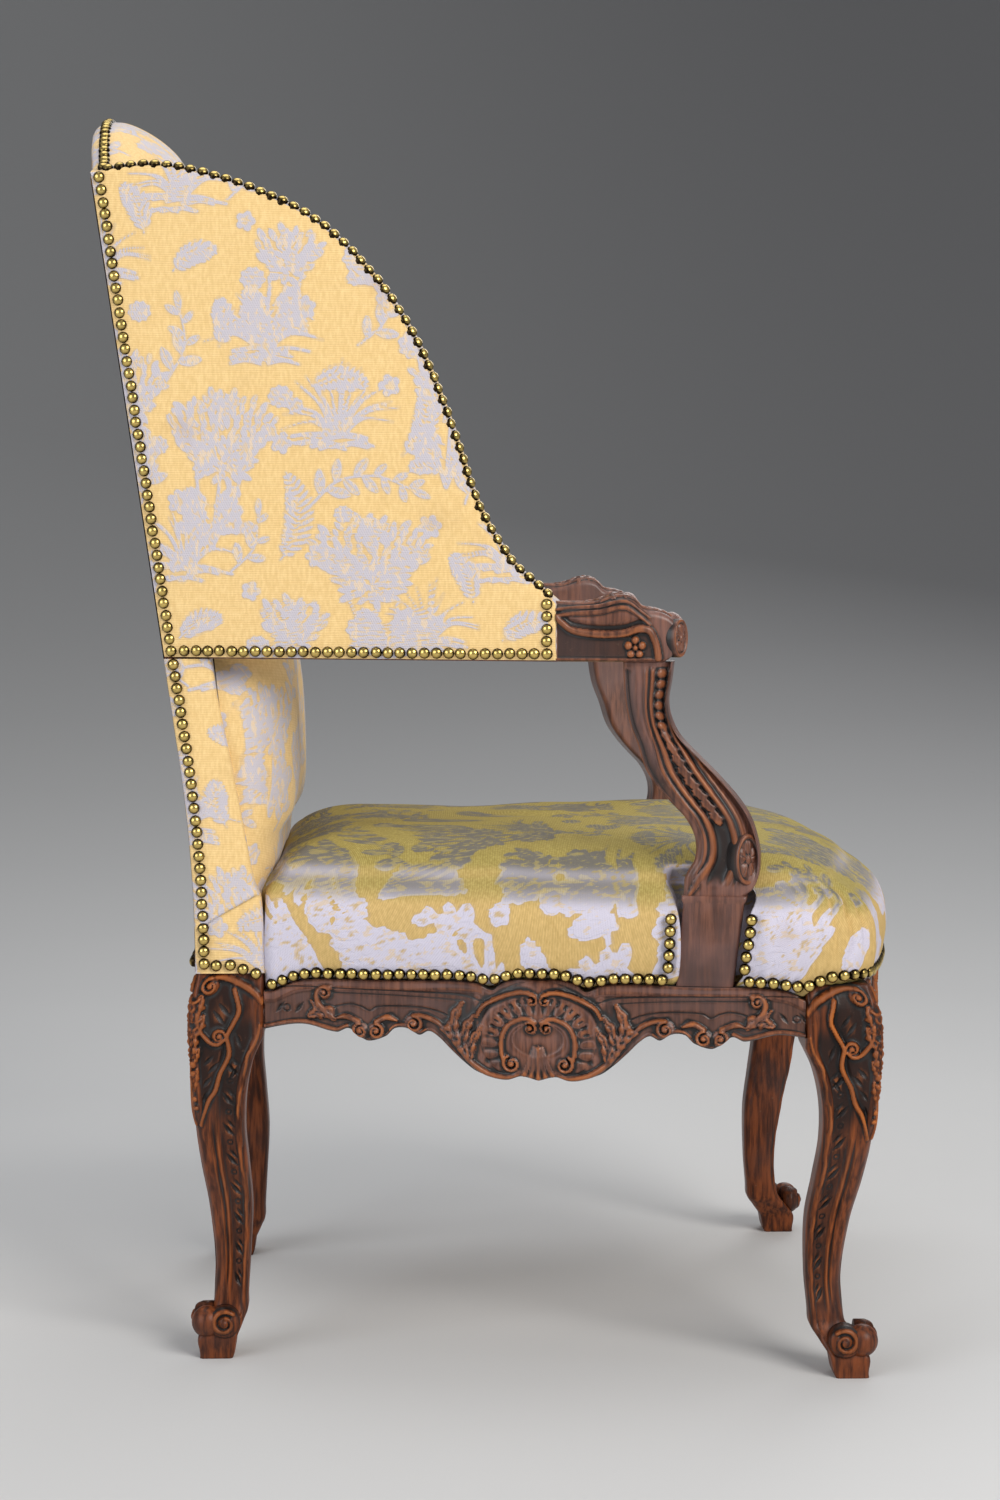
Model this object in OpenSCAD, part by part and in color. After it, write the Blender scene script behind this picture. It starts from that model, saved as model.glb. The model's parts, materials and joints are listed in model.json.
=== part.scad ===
// Wing armchair in the Louis XV manner: carved walnut seat frame, arms and legs,
// raked upholstered back with an arched crest, and flat upholstered wings that sweep down to the arms.
// The front faces -Y, the sitter's right is -X, and the floor is Z = 0.

/* [Overall] */
// Height of the crest above the floor
overall_height = 1232; // [1190:1:1270]
// Width across the knees of the front legs
front_width = 616; // [590:2:640]
// Width across the back posts
rear_width = 430; // [420:2:444]
// Depth from the front knees to the back of the rear legs
frame_depth = 662; // [650:1:680]

/* [Seat frame] */
// Height of the moulded top edge of the rails
rail_top = 383; // [372:1:394]
// Thickness of the seat rails
rail_thick = 30; // [26:1:34]
// Depth of the step behind the moulded edge that the covers are nailed to
rebate_depth = 6; // [4:0.5:8]
// Height of the hidden tacking strip above the moulded edge
rebate_height = 20; // [16:1:26]
// Forward swell of the front rail at the middle
front_bow = 41; // [34:1:46]
// Length of a rail tenon
tenon_length = 24; // [16:1:30]
// Thickness of a rail tenon
tenon_thick = 11; // [8:0.5:13]
// Height of a rail tenon
tenon_height = 34; // [26:1:38]
// Clearance between two pieces of wood
wood_gap = 0.2; // [0.1:0.05:0.3]

/* [Legs] */
// Width of a leg at the block that takes the rails
block_width = 72; // [66:1:76]
// Width of a leg at the ankle
ankle_width = 34; // [30:1:38]
// Inward sweep of a front ankle behind its knee
front_sweep = 32; // [26:1:36]
// Inward sweep of a rear ankle behind its knee
rear_sweep = 22; // [18:1:26]
// Radius of the rolled toe
toe_radius = 16; // [12:0.5:18]

/* [Back] */
// Rake of the back from the upright
back_rake = 8.06; // [6:0.1:10]
// Height of the wing corners above the floor
shoulder_height = 1163; // [1130:1:1180]
// Depth of a back post from front to rear
post_depth = 44; // [38:1:50]
// Width of a back post
post_width = 30; // [26:1:34]
// Depth of the back pad at the small of the back
back_pad_depth = 74; // [60:1:84]
// Depth of the crest rail
crest_depth = 26; // [22:1:32]

/* [Arms and wings] */
// Height of the underside of the arms
arm_under = 697; // [680:1:710]
// Height of the arm wood at the foot of the wing
arm_height = 56; // [50:1:62]
// Width of the arm wood
arm_width = 42; // [38:1:46]
// Distance of the arm's outer face from the middle where the wing ends
arm_spread = 290; // [282:1:296]
// Distance from the front knees back to the scroll of the arm
arm_setback = 187; // [178:1:196]
// Bare length of the arm in front of the wing
arm_bare = 126; // [116:1:136]
// Width of the arm support's square foot along the rail
support_foot = 57; // [50:1:62]
// Thickness of the wing frame
wing_thick = 22; // [18:1:26]
// Width of the curved wing rail
wing_rail_width = 38; // [32:1:44]

/* [Upholstery] */
// Height of the seat's crown above the floor
seat_crown = 523; // [510:1:532]
// Swell of the seat beyond the rails
seat_swell = 13; // [9:1:16]
// Swell of the inner wing pads
wing_swell = 17; // [12:1:20]
// Thickness of the cover cloth
cloth = 1.6; // [1.2:0.1:2]
// Clearance of a soft piece from its neighbours
soft_gap = 0.3; // [0.2:0.05:0.5]
// Width of a webbing strap
web_width = 50; // [40:1:56]
// Thickness of a webbing strap
web_thick = 1.5; // [1.2:0.1:2]
// Wire diameter of a seat spring
spring_wire = 3.8; // [3:0.1:4.5]
// Turns of a seat spring
spring_turns = 3.5; // [3:0.5:4.5]
// Radius of a seat spring at its ends
spring_radius = 40; // [32:1:44]

/* [Hidden] */
$fn = 32;

walnut = "#5a3526";
beech = "#b08a5c";
brocade = "#e8c77c";
hessian_brown = "#9c8058";
horsehair = "#4a3c30";
steel_wire = "#8c8f92";

// Height at which the back posts leave the upright, and at which their rake is full
bend_low = rail_top + 17;
bend_high = rail_top + 217;
rake_slope = tan(back_rake);
crest_overhang = rake_slope * (overall_height - (bend_low + bend_high) / 2);
// The origin lies under the middle of the whole depth
rear_y = (frame_depth + front_bow - crest_overhang) / 2;
knee_y = rear_y - frame_depth;
knee_x = front_width / 2;
post_x = rear_width / 2;
rear_knee_x = post_x + 6;
rear_knee_y = rear_y + 6;
arm_top = arm_under + arm_height;
arm_tip_y = knee_y + arm_setback;
wing_front_y = arm_tip_y + arm_bare;
leg_scale = rail_top / 383;
rail_face = 6;
cartouche_rise = 9;

// Section of a curve through keys [x, y], with slopes taken from the neighbouring keys
function span(k, x, i = 0) = (i >= len(k) - 2 || x < k[i + 1][0]) ? i : span(k, x, i + 1);
function rise(k, i) =
    let (a = max(i - 1, 0), b = min(i + 1, len(k) - 1))
    (k[b][1] - k[a][1]) / (k[b][0] - k[a][0]);
function curve(k, x) =
    let (i = span(k, x), h = k[i + 1][0] - k[i][0], t = (x - k[i][0]) / h)
    (2 * t ^ 3 - 3 * t ^ 2 + 1) * k[i][1] + (t ^ 3 - 2 * t ^ 2 + t) * h * rise(k, i)
    + (3 * t ^ 2 - 2 * t ^ 3) * k[i + 1][1] + (t ^ 3 - t ^ 2) * h * rise(k, i + 1);

// Smooth line through points, with n steps from each point to the next
function knot(p, i) = p[min(max(i, 0), len(p) - 1)];
function smooth_at(a, b, c, d, t) =
    b + (c - a) * t / 2 + (2 * a - 5 * b + 4 * c - d) * t ^ 2 / 2 + (3 * b - a - 3 * c + d) * t ^ 3 / 2;
function smooth(p, n) = [
    for (i = [0 : len(p) - 2], j = [0 : n - 1])
        smooth_at(knot(p, i - 1), p[i], p[i + 1], knot(p, i + 2), j / n),
    p[len(p) - 1]
];
function mean(ring) = [for (a = [0 : 2]) sum([for (p = ring) p[a]]) / len(ring)];
function sum(v, i = 0) = i >= len(v) ? 0 : v[i] + sum(v, i + 1);
function unit(v) = v / norm(v);
function mix(a, b, t) = a + (b - a) * t;

// Closed skin over a stack of rings that all have the same number of points
module loft(rings) {
    m = len(rings);
    n = len(rings[0]);
    walls = [
        for (j = [0 : m - 2], i = [0 : n - 1])
            let (a = j * n + i, b = j * n + (i + 1) % n)
            each [[a, a + n, b], [b, a + n, b + n]]
    ];
    base_cap = [for (i = [0 : n - 1]) [m * n, i, (i + 1) % n]];
    end_cap = [for (i = [0 : n - 1]) [m * n + 1, (m - 1) * n + (i + 1) % n, (m - 1) * n + i]];
    polyhedron(
        points = concat([for (r = rings) each r], [mean(rings[0]), mean(rings[m - 1])]),
        faces = concat(walls, base_cap, end_cap)
    );
}

module left_of(side) {
    mirror([side == "left" ? 1 : 0, 0, 0]) children();
}

// Rear face of the back at height z: upright at the seat, then a bend, then a straight rake
function back_line(z) = rear_y + rake_slope * (
    z <= bend_low ? 0
    : z <= bend_high ? (z - bend_low) ^ 2 / (bend_high - bend_low) / 2
    : z - (bend_low + bend_high) / 2
);

// Legs
// Outline of a leg in shares of its sweep and of its width, against the height above the floor
leg_sweep_keys = [
    [0, 0.05], [20, 0.18], [34, 0.5], [46, 0.8], [58, 0.9], [95, 1], [150, 0.77], [193, 0.44],
    [232, 0.2], [271, 0.03], [320, 0], [362, 0.1], [386, 0.35]
];
leg_width_keys = [
    [0, -0.03], [20, 0.12], [40, 0.08], [58, 0], [95, 0], [150, 0.2], [193, 0.31],
    [232, 0.37], [271, 0.53], [300, 0.72], [316, 0.9], [326, 1], [386, 1]
];
// One carved section in a unit square: [0, 0] is the inner corner and [1, 1] the knee
leg_section = [
    [0.1, 0.1], [0.55, 0.02], [1, 0], [1, 0.1], [0.93, 0.2], [0.92, 0.42], [0.985, 0.58],
    [0.95, 0.68], [0.87, 0.87], [0.68, 0.95], [0.58, 0.985], [0.42, 0.92], [0.2, 0.93],
    [0.1, 1], [0, 1], [0.02, 0.55]
];
// The same points on a plain square
block_section = [
    [0, 0], [0.5, 0], [1, 0], [1, 0.15], [1, 0.3], [1, 0.5], [1, 0.7], [1, 0.85], [1, 1],
    [0.85, 1], [0.7, 1], [0.5, 1], [0.3, 1], [0.15, 1], [0, 1], [0, 0.5]
];
// Share of the carved section at each height: none at the pad and none above the knee
leg_carve_keys = [[0, 0], [22, 0.1], [58, 0.8], [95, 1], [300, 1], [330, 0.75], [362, 0.5], [386, 0]];
leg_levels = [
    0, 10, 22, 34, 46, 58, 76, 95, 122, 150, 172, 193,
    214, 232, 252, 271, 288, 303, 316, 326, 344, 362, 386
];

function leg_width_at(h) = ankle_width + (block_width - ankle_width) * curve(leg_width_keys, h);
// Ring of a leg whose knee stands at [kx, ky] and points along the signs [sx, sy]
function leg_ring(h, z, kx, ky, sx, sy, sweep) =
    let (
        o = sweep * curve(leg_sweep_keys, h),
        w = min(leg_width_at(h), block_width - o * (h > 310 ? 1 : 0)),
        c = curve(leg_carve_keys, h)
    )
    [for (i = [0 : len(leg_section) - 1])
        let (p = mix(block_section[i], leg_section[i], c))
        [kx - sx * (o + w * (1 - p[0])), ky - sy * (o + w * (1 - p[1])), z]];
function turned(rings) = [for (r = rings) [for (i = [len(r) - 1 : -1 : 0]) r[i]]];

// Rolled toe with its two side volutes
module toe(kx, ky, sx, sy, sweep) {
    roll = toe_radius + 2;
    eye = sweep + 1;
    toe_z = 36 * leg_scale;
    volute = toe_radius - 1.5;
    translate([kx - sx * roll, ky - sy * roll, toe_z]) sphere(r = toe_radius);
    translate([kx - sx * 12, ky - sy * eye, toe_z]) rotate([0, -sx * 90, 0]) cylinder(r = volute, h = 20);
    translate([kx - sx * 9, ky - sy * eye, toe_z]) rotate([0, -sx * 90, 0])
        cylinder(r = volute / 2.5, h = 20);
    translate([kx - sx * eye, ky - sy * 12, toe_z]) rotate([sy * 90, 0, 0]) cylinder(r = volute, h = 20);
    translate([kx - sx * eye, ky - sy * 9, toe_z]) rotate([sy * 90, 0, 0])
        cylinder(r = volute / 2.5, h = 20);
}

// Frame along the right side rail: x runs from the rear leg to the front leg, y runs inwards
side_start = [-(rear_knee_x - rail_face), rear_knee_y - block_width];
side_end = [-(knee_x - rail_face), knee_y + block_width];
side_run = norm(side_end - side_start);
side_angle = atan2(side_end[1] - side_start[1], side_end[0] - side_start[0]);
module along_side() {
    translate([side_start[0], side_start[1], 0]) rotate([0, 0, side_angle]) children();
}
tenon_low = rail_top - 8 - tenon_height;
tenon_inset = (rail_thick - tenon_thick) / 2;
// Distance that a tenon runs back into its own rail
tenon_root = 6;
module tenon(x, y, play) {
    translate([x - play, y - play, tenon_low - play])
        cube([tenon_length + tenon_root + 2 * play, tenon_thick + 2 * play, tenon_height + 2 * play]);
}
module side_tenons(play) {
    tenon(-tenon_length, tenon_inset, play);
    tenon(side_run - tenon_root, tenon_inset, play);
}
front_span = 2 * (knee_x - block_width);
module front_tenons(play) {
    tenon(-front_span / 2 - tenon_length, knee_y + cartouche_rise + tenon_inset, play);
    tenon(front_span / 2 - tenon_root, knee_y + cartouche_rise + tenon_inset, play);
}
rear_span = 2 * (rear_knee_x - block_width);
rear_rail_y = rear_knee_y - rail_face - rail_thick;
module rear_tenons(play) {
    tenon(-rear_span / 2 - tenon_length, rear_rail_y + tenon_inset, play);
    tenon(rear_span / 2 - tenon_root, rear_rail_y + tenon_inset, play);
}

// Rails
// Half of the scrolled apron: distance from the middle of the cartouche and drop below the moulded edge
apron_keys = [
    [0, 96], [17, 92], [32, 96], [48, 93], [62, 88], [74, 79], [86, 68], [98, 56], [108, 50],
    [118, 54], [128, 48], [142, 48], [151, 56], [168, 61], [178, 56], [188, 49], [200, 53],
    [230, 46], [250, 47], [290, 56]
];
// Half of the moulded top edge: distance from the middle and rise above the plain edge
crown_keys = [
    [0, 4], [20, 4], [36, 0], [46, -7], [60, -1], [90, 1], [140, 0], [215, 0], [240, -3], [262, -13]
];
cartouche_share = 0.513;
apron_step = 8;
cartouche_radius = 44;

// Apron seen square on, from x = a to x = b with the cartouche at x = m
module apron(a, b, m) {
    steps = ceil((b - a) / apron_step);
    xs = [for (i = [0 : steps]) mix(a, b, i / steps)];
    polygon(concat(
        [for (x = xs) [x, rail_top - curve(apron_keys, abs(x - m))]],
        [for (i = [steps : -1 : 0]) [xs[i], rail_top + curve(crown_keys, abs(xs[i] - m))]]
    ));
}

// Ribbed shell that swells along +Z from its own base
module shell_boss() {
    around = 33;
    root = 3;
    rings = [for (s = [1, 0.97, 0.8, 0.55, 0.25])
        [for (i = [0 : around - 1])
            let (a = 360 * i / around, rib = 1 + 0.045 * cos(11 * a), lift = sqrt(1 - min(s, 0.999) ^ 2))
            [
                cartouche_radius * s * rib * cos(a),
                0.92 * cartouche_radius * s * rib * sin(a),
                s == 1 ? -root : cartouche_rise * lift * rib / 1.045
            ]]];
    loft(rings);
}

// Space between the leg blocks, which cuts the splayed rails square
module between_legs() {
    reach = knee_x + 50;
    translate([-reach, knee_y + block_width + wood_gap, 0])
        cube([2 * reach, rear_knee_y - knee_y - 2 * block_width - 2 * wood_gap, rail_top + 60]);
}

module side_rail() {
    middle = side_run * cartouche_share;
    overrun = 12;
    seat_clear = 7;
    color(walnut) difference() {
        union() {
            intersection() {
                along_side() union() {
                    translate([0, rail_thick, 0]) rotate([90, 0, 0])
                        linear_extrude(rail_thick) apron(-overrun, side_run + overrun, middle);
                    translate([seat_clear, rebate_depth, rail_top - 20])
                        cube([
                            side_run + overrun - seat_clear, rail_thick - rebate_depth, rebate_height + 20
                        ]);
                }
                between_legs();
            }
            along_side() {
                side_tenons(0);
                translate([middle, 0, rail_top - 48]) rotate([90, 0, 0]) shell_boss();
            }
        }
        along_side() {
            support_base(wood_gap);
            translate([notch_rear - seat_clear, -1, rail_top + 0.6])
                cube([notch_front - notch_rear + 2 * seat_clear, rail_thick + 2, rebate_height + 1]);
        }
    }
}

front_radius = ((front_span / 2) ^ 2 + front_bow ^ 2) / (2 * front_bow);
front_face_y = knee_y + cartouche_rise - front_bow;
// Curved slice of the front rail, inset from its face
module front_slice(inset, low, high) {
    translate([0, front_face_y + front_radius, 0]) difference() {
        translate([0, 0, low]) cylinder(r = front_radius - inset, h = high - low);
        translate([0, 0, low - 1]) cylinder(r = front_radius - rail_thick, h = high - low + 2);
    }
}
module front_rail() {
    half = front_span / 2 - wood_gap;
    reach = front_bow + block_width;
    color(walnut) union() {
        intersection() {
            front_slice(0, rail_top - 110, rail_top + 20);
            translate([0, front_face_y + reach, 0]) rotate([90, 0, 0])
                linear_extrude(reach + 20) apron(-half, half, 0);
        }
        intersection() {
            front_slice(rebate_depth, rail_top - 20, rail_top + rebate_height);
            translate([-half, front_face_y - 20, rail_top - 20]) cube([2 * half, reach, rebate_height + 20]);
        }
        translate([0, front_face_y + 0.6, rail_top - 48]) rotate([90, 0, 0]) shell_boss();
        front_tenons(0);
    }
}

module rear_rail() {
    plain_height = 52;
    half = rear_span / 2 - wood_gap;
    color(walnut) union() {
        translate([-half, rear_rail_y, rail_top - plain_height]) cube([2 * half, rail_thick, plain_height]);
        translate([-half, rear_rail_y, rail_top - 1])
            cube([2 * half, rail_thick - rebate_depth, rebate_height + 1]);
        rear_tenons(0);
    }
}

// Glued blocks that wrap the inner corners of the four legs, seen from above
module corner_blocks() {
    block_high = 36;
    front = knee_y + block_width + wood_gap;
    rear = rear_knee_y - block_width - wood_gap;
    front_in = -knee_x + block_width + wood_gap;
    rear_in = -rear_knee_x + block_width + wood_gap;
    color(beech) for (side = ["right", "left"]) left_of(side)
        translate([0, 0, rail_top - 38]) linear_extrude(block_high) {
            polygon([
                [front_in, front], [front_in, front - 29],
                [front_in + 38, front - 29], [front_in - 26, front + 40],
                [front_in - 26, front]
            ]);
            polygon([
                [rear_in, rear], [rear_in, rear + 28], [rear_in + 31, rear + 28], [rear_in - 31, rear - 38],
                [rear_in - 31, rear]
            ]);
        }
}

// Back frame
// Frame on the raked back at height z: x across, y to the rear, z up the rake
module on_back(z) {
    translate([0, back_line(z), z]) rotate([-back_rake, 0, 0]) children();
}
post_top = shoulder_height - 34;
// Depth of a post: it spreads towards the seat until it meets the leg block
post_spread_keys = [[0, 22], [76, 20], [95, 14], [164, 7], [213, 4], [290, 0], [900, 0]];
function post_deep(z) = post_depth + curve(post_spread_keys, z - rail_top);
// Rise of the crest against the share of the half width
crest_keys = [[0, 1], [0.25, 0.96], [0.5, 0.79], [0.72, 0.46], [0.88, 0.16], [1, 0]];
crest_pad = 14;
crest_rise = overall_height - crest_pad - shoulder_height;
module crest_rail() {
    steps = 24;
    half = post_x - 1;
    up = 1 / cos(back_rake);
    xs = [for (i = [0 : steps]) mix(-half, half, i / steps)];
    low = (post_top + wood_gap - shoulder_height) * up;
    arch = 0.86;
    color(beech) difference() {
        on_back(shoulder_height) rotate([90, 0, 0]) translate([0, 0, 1]) linear_extrude(crest_depth)
            polygon(concat(
                [for (x = xs) [x, low + (abs(x) > half - post_width ? 0
                    : arch * crest_rise * curve(crest_keys, abs(x) / half) * up)]],
                [for (i = [steps : -1 : 0])
                    [xs[i], (crest_rise * curve(crest_keys, abs(xs[i]) / half) - 5) * up]]
            ));
        for (s = [-1, 1]) post_dowel(s, wood_gap);
    }
}
// Round tenon of a back post in the crest rail
module post_dowel(s, play) {
    on_back(shoulder_height)
        translate([s * (post_x - post_width / 2), -1 - crest_depth / 2, post_top - shoulder_height - 2])
        cylinder(r = 6 + play, h = 20 + play);
}

// Rail that carries the foot of the back pad
lower_rail_z = rail_top + 66;
lower_rail_high = 42;
lower_rail_thick = 26;
module lower_rail_body(grow, play) {
    half = post_x - post_width + grow;
    translate([-half, back_line(lower_rail_z) - post_depth + 4 - play, lower_rail_z - play])
        cube([2 * half, lower_rail_thick + 2 * play, lower_rail_high + 2 * play]);
}
module lower_back_rail() {
    tongue = 14;
    color(beech) union() {
        lower_rail_body(-wood_gap, 0);
        lower_rail_body(tongue, -6);
    }
}

module front_leg() {
    rings = [for (h = leg_levels) leg_ring(h, h * leg_scale, -knee_x, knee_y, -1, -1, front_sweep)];
    color(walnut) difference() {
        union() {
            loft(rings);
            toe(-knee_x, knee_y, -1, -1, front_sweep);
        }
        along_side() side_tenons(wood_gap);
        front_tenons(wood_gap);
    }
}

// Heights of the back post's sections above the seat frame
post_steps = [6, 28, 50, 76, 95, 130, 170, 223, 300, 500];
module rear_leg() {
    legs = [for (h = leg_levels) leg_ring(h, h * leg_scale, -rear_knee_x, rear_knee_y, -1, 1, rear_sweep)];
    posts = [for (z = concat([for (h = post_steps) rail_top + h], [post_top]))
        let (y = back_line(z))
        [for (p = block_section) [-post_x + post_width * (1 - p[0]), y - post_deep(z) * (1 - p[1]), z]]];
    color(walnut) difference() {
        union() {
            loft(turned(concat(legs, posts)));
            toe(-rear_knee_x, rear_knee_y, -1, 1, rear_sweep);
            post_dowel(-1, 0);
        }
        along_side() side_tenons(wood_gap);
        rear_tenons(wood_gap);
        lower_rail_body(15, -6 + wood_gap);
        arm_tongue(wood_gap);
    }
}

// Arm supports
support_y = knee_y + 168;
support_x = (side_start[1] - support_y) / -sin(side_angle);
support_depth = 34;
support_rise = arm_under - rail_top;
foot_high = 88;
// Outline of the support seen from the side: share of the height and distance towards the front
support_front_keys = [
    [0, -0.47], [0.3, -0.74], [0.34, -0.86], [0.395, -0.9], [0.455, -0.86], [0.52, -0.74], [0.58, -0.53],
    [0.65, -0.19], [0.71, 0.14], [0.77, 0.45], [0.83, 0.61], [0.88, 0.65], [0.94, 0.6], [1, 0.56]
];
support_rear_keys = [
    [0, 0.49], [0.3, 0.37], [0.34, 0.35], [0.395, 0.19], [0.46, 0.19], [0.52, 0.35], [0.565, 0.58],
    [0.61, 0.8], [0.67, 1.02], [0.75, 1.16], [0.82, 1.3], [0.9, 1.37], [1, 1.4]
];
support_splay_keys = [[0, 0], [0.35, 0], [0.6, -4], [0.85, -11], [1, -13]];
support_levels = [
    0.26, 0.3, 0.33, 0.37, 0.41, 0.45, 0.49, 0.53, 0.57,
    0.61, 0.65, 0.69, 0.73, 0.77, 0.82, 0.87, 0.93, 1
];
// Carved section: [0, 0] is the inner rear corner and [1, 1] the outer front corner
support_section = [
    [0.08, 0], [0.5, 0], [0.92, 0], [1, 0.06], [1, 0.3], [0.93, 0.4], [0.97, 0.52], [0.86, 0.64],
    [0.9, 0.78], [0.72, 0.92], [0.5, 1], [0.28, 0.96], [0.1, 0.86], [0, 0.72], [0, 0.35], [0, 0.08]
];
module support_foot_block(play) {
    front = support_x + 0.47 * support_foot;
    rear = support_x - 0.49 * support_foot;
    lean = 0.12 * support_foot;
    translate([0, support_depth + play, 0]) rotate([90, 0, 0])
        linear_extrude(support_depth + 2 * play + (play > 0 ? 5 : 0))
        polygon([
            [rear - play, rail_top - play],
            [front + play, rail_top - play],
            [front + lean * 1.6 + play, rail_top + foot_high + play],
            [rear + lean - play, rail_top + foot_high + play]
        ]);
}
// Foot of the support with its tenon, in the frame along the side rail
module support_base(play) {
    tenon_wide = 34;
    tenon_deep = 30;
    support_foot_block(play);
    translate([support_x - tenon_wide / 2 - play, tenon_inset + 2 - play, rail_top - tenon_deep - play])
        cube([tenon_wide + 2 * play, tenon_thick + 2 * play, tenon_deep + 1 + play]);
}
function support_ring(t) =
    let (
        f = support_x - support_foot * curve(support_front_keys, t),
        r = support_x - support_foot * curve(support_rear_keys, t),
        s = curve(support_splay_keys, t)
    )
    [
        for (p = support_section)
            [mix(r, f, p[1]), s + support_depth * (1 - p[0]), rail_top + support_rise * t - wood_gap * t]
    ];
module arm_dowel(play) {
    translate([support_x - 0.98 * support_foot, support_depth / 2 - 13, arm_under - 10])
        cylinder(r = 7 + play, h = 32 + play);
}
module rosette(r, h) {
    petals = 5;
    cylinder(r = r, h = h);
    for (i = [0 : petals - 1]) rotate([0, 0, 360 * i / petals + 18])
        translate([r * 0.52, 0, h - 1]) cylinder(r1 = r * 0.33, r2 = r * 0.2, h = 3);
    translate([0, 0, h - 1]) cylinder(r = r * 0.18, h = 4);
}
module arm_support() {
    color(walnut) along_side() union() {
        support_base(0);
        loft([for (t = support_levels) support_ring(t)]);
        arm_dowel(0);
        translate([support_x + 0.66 * support_foot, 11, rail_top + 0.4 * support_rise])
            rotate([90, 0, 58]) rosette(19, 10);
    }
}

// Arms
wing_root_y = back_line(arm_under);
splay = atan2(arm_spread - post_x, wing_root_y - wing_front_y);
wing_run = (wing_root_y - wing_front_y) / cos(splay);
function wing_face(y) = -post_x - (wing_root_y - y) * tan(splay);
arm_root_y = back_line(arm_under) - post_depth;
hidden_high = 38;
tongue_long = 18;
module arm_tongue(play) {
    translate([-post_x + 2 - play, arm_root_y - 3 - play, arm_under + 8 - play])
        cube([10 + 2 * play, tongue_long + 3 + play, 24 + 2 * play]);
}
arm_round = [
    [0.12, 0], [0.5, 0], [0.88, 0], [1, 0.1], [0.96, 0.35], [0.9, 0.6], [1, 0.76], [0.88, 0.92],
    [0.5, 1], [0.12, 0.92], [0, 0.76], [0.1, 0.6], [0.04, 0.35], [0, 0.1]
];
arm_square = [
    [0, 0], [0.5, 0], [1, 0], [1, 0.1], [1, 0.35], [1, 0.6], [1, 0.8], [1, 1],
    [0.5, 1], [0, 1], [0, 0.8], [0, 0.6], [0, 0.35], [0, 0.1]
];
// Bare arm: share of its length, height of the top, lift of the underside, share of the full width
arm_top_keys = [
    [0, 56], [0.15, 55], [0.33, 56], [0.5, 62], [0.63, 60], [0.72, 51], [0.84, 48], [0.93, 44], [1, 36]
];
arm_low_keys = [[0, 0], [0.84, 0], [0.9, 0.5], [1, 9]];
arm_wide_keys = [[0, 0.92], [0.4, 1], [0.7, 1.02], [0.9, 1.02], [1, 0.8]];
arm_out_keys = [[0, 1.5], [0.3, 4], [0.7, 8], [1, 6]];
arm_levels = [0, 0.08, 0.16, 0.25, 0.34, 0.43, 0.52, 0.6, 0.67, 0.74, 0.82, 0.88, 0.93, 0.97, 1];
function arm_ring(y, out, wide, low, high, section) =
    [for (p = section) [out + wide * p[0], y, low + (high - low) * p[1]]];
module arm() {
    ends = [[arm_root_y - wood_gap, hidden_high], [wing_front_y + 75, hidden_high],
        [wing_front_y + 60, arm_height],
        [wing_front_y + 1, arm_height]];
    hidden = [for (e = ends)
        arm_ring(e[0], wing_face(e[0]) + 1, wing_thick - 3, arm_under, arm_under + e[1], arm_square)];
    bare = [for (t = arm_levels)
        let (y = mix(wing_front_y, arm_tip_y, t), w = arm_width * curve(arm_wide_keys, t))
        arm_ring(y, -arm_spread - curve(arm_out_keys, t), w, arm_under + curve(arm_low_keys, t),
            arm_under + arm_height / 56 * curve(arm_top_keys, t), arm_round)];
    color(walnut) difference() {
        union() {
            loft(concat(hidden, bare));
            arm_tongue(0);
            translate([-arm_spread + 13, arm_tip_y + 2, arm_under + 22]) rotate([90, 0, -25]) rosette(16, 5);
        }
        along_side() arm_dowel(wood_gap);
        along_wing() wing_foot(wood_gap);
    }
}

// Wings
// Frame on the wing: x runs from the rear edge to the front, y runs inwards, z runs up the leaning wing
wing_drift = (back_line(shoulder_height) - wing_root_y) * sin(splay);
wing_lean = atan(wing_drift / (shoulder_height - arm_under));
module along_wing() {
    translate([-post_x, wing_root_y, arm_under])
        rotate([0, 0, -90 - splay]) rotate([wing_lean, 0, 0]) children();
}
function on_wing(y, z) = [
    (wing_root_y - y + sin(splay) * sin(wing_lean) * (z - arm_under)) / cos(splay),
    (z - arm_under) / cos(wing_lean)
];
// Sweep of the wing's edge: share from the arm back to the corner, and share of the height
wing_keys = [
    [0, 0], [0.055, 0.05], [0.102, 0.1], [0.17, 0.227], [0.23, 0.417], [0.298, 0.595], [0.386, 0.744],
    [0.514, 0.88], [0.68, 0.966], [0.85, 1.012], [1, 1]
];
wing_sweep = [for (p = smooth(wing_keys, 3))
    on_wing(mix(wing_front_y, back_line(shoulder_height), p[0]), mix(arm_top, shoulder_height, p[1]))];
function normal_at(p, i) =
    let (a = knot(p, i - 1), b = knot(p, i + 1), d = unit(b - a)) [-d[1], d[0]];
// Line beside another one, at distance d to its left
function beside(p, d) = [for (i = [0 : len(p) - 1]) p[i] + d * normal_at(p, i)];
wing_inner_sweep = beside(wing_sweep, wing_rail_width);
wing_top_z = wing_sweep[len(wing_sweep) - 1][1];
function wing_rear(z) = on_wing(back_line(z + arm_under), z + arm_under)[0];
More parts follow.
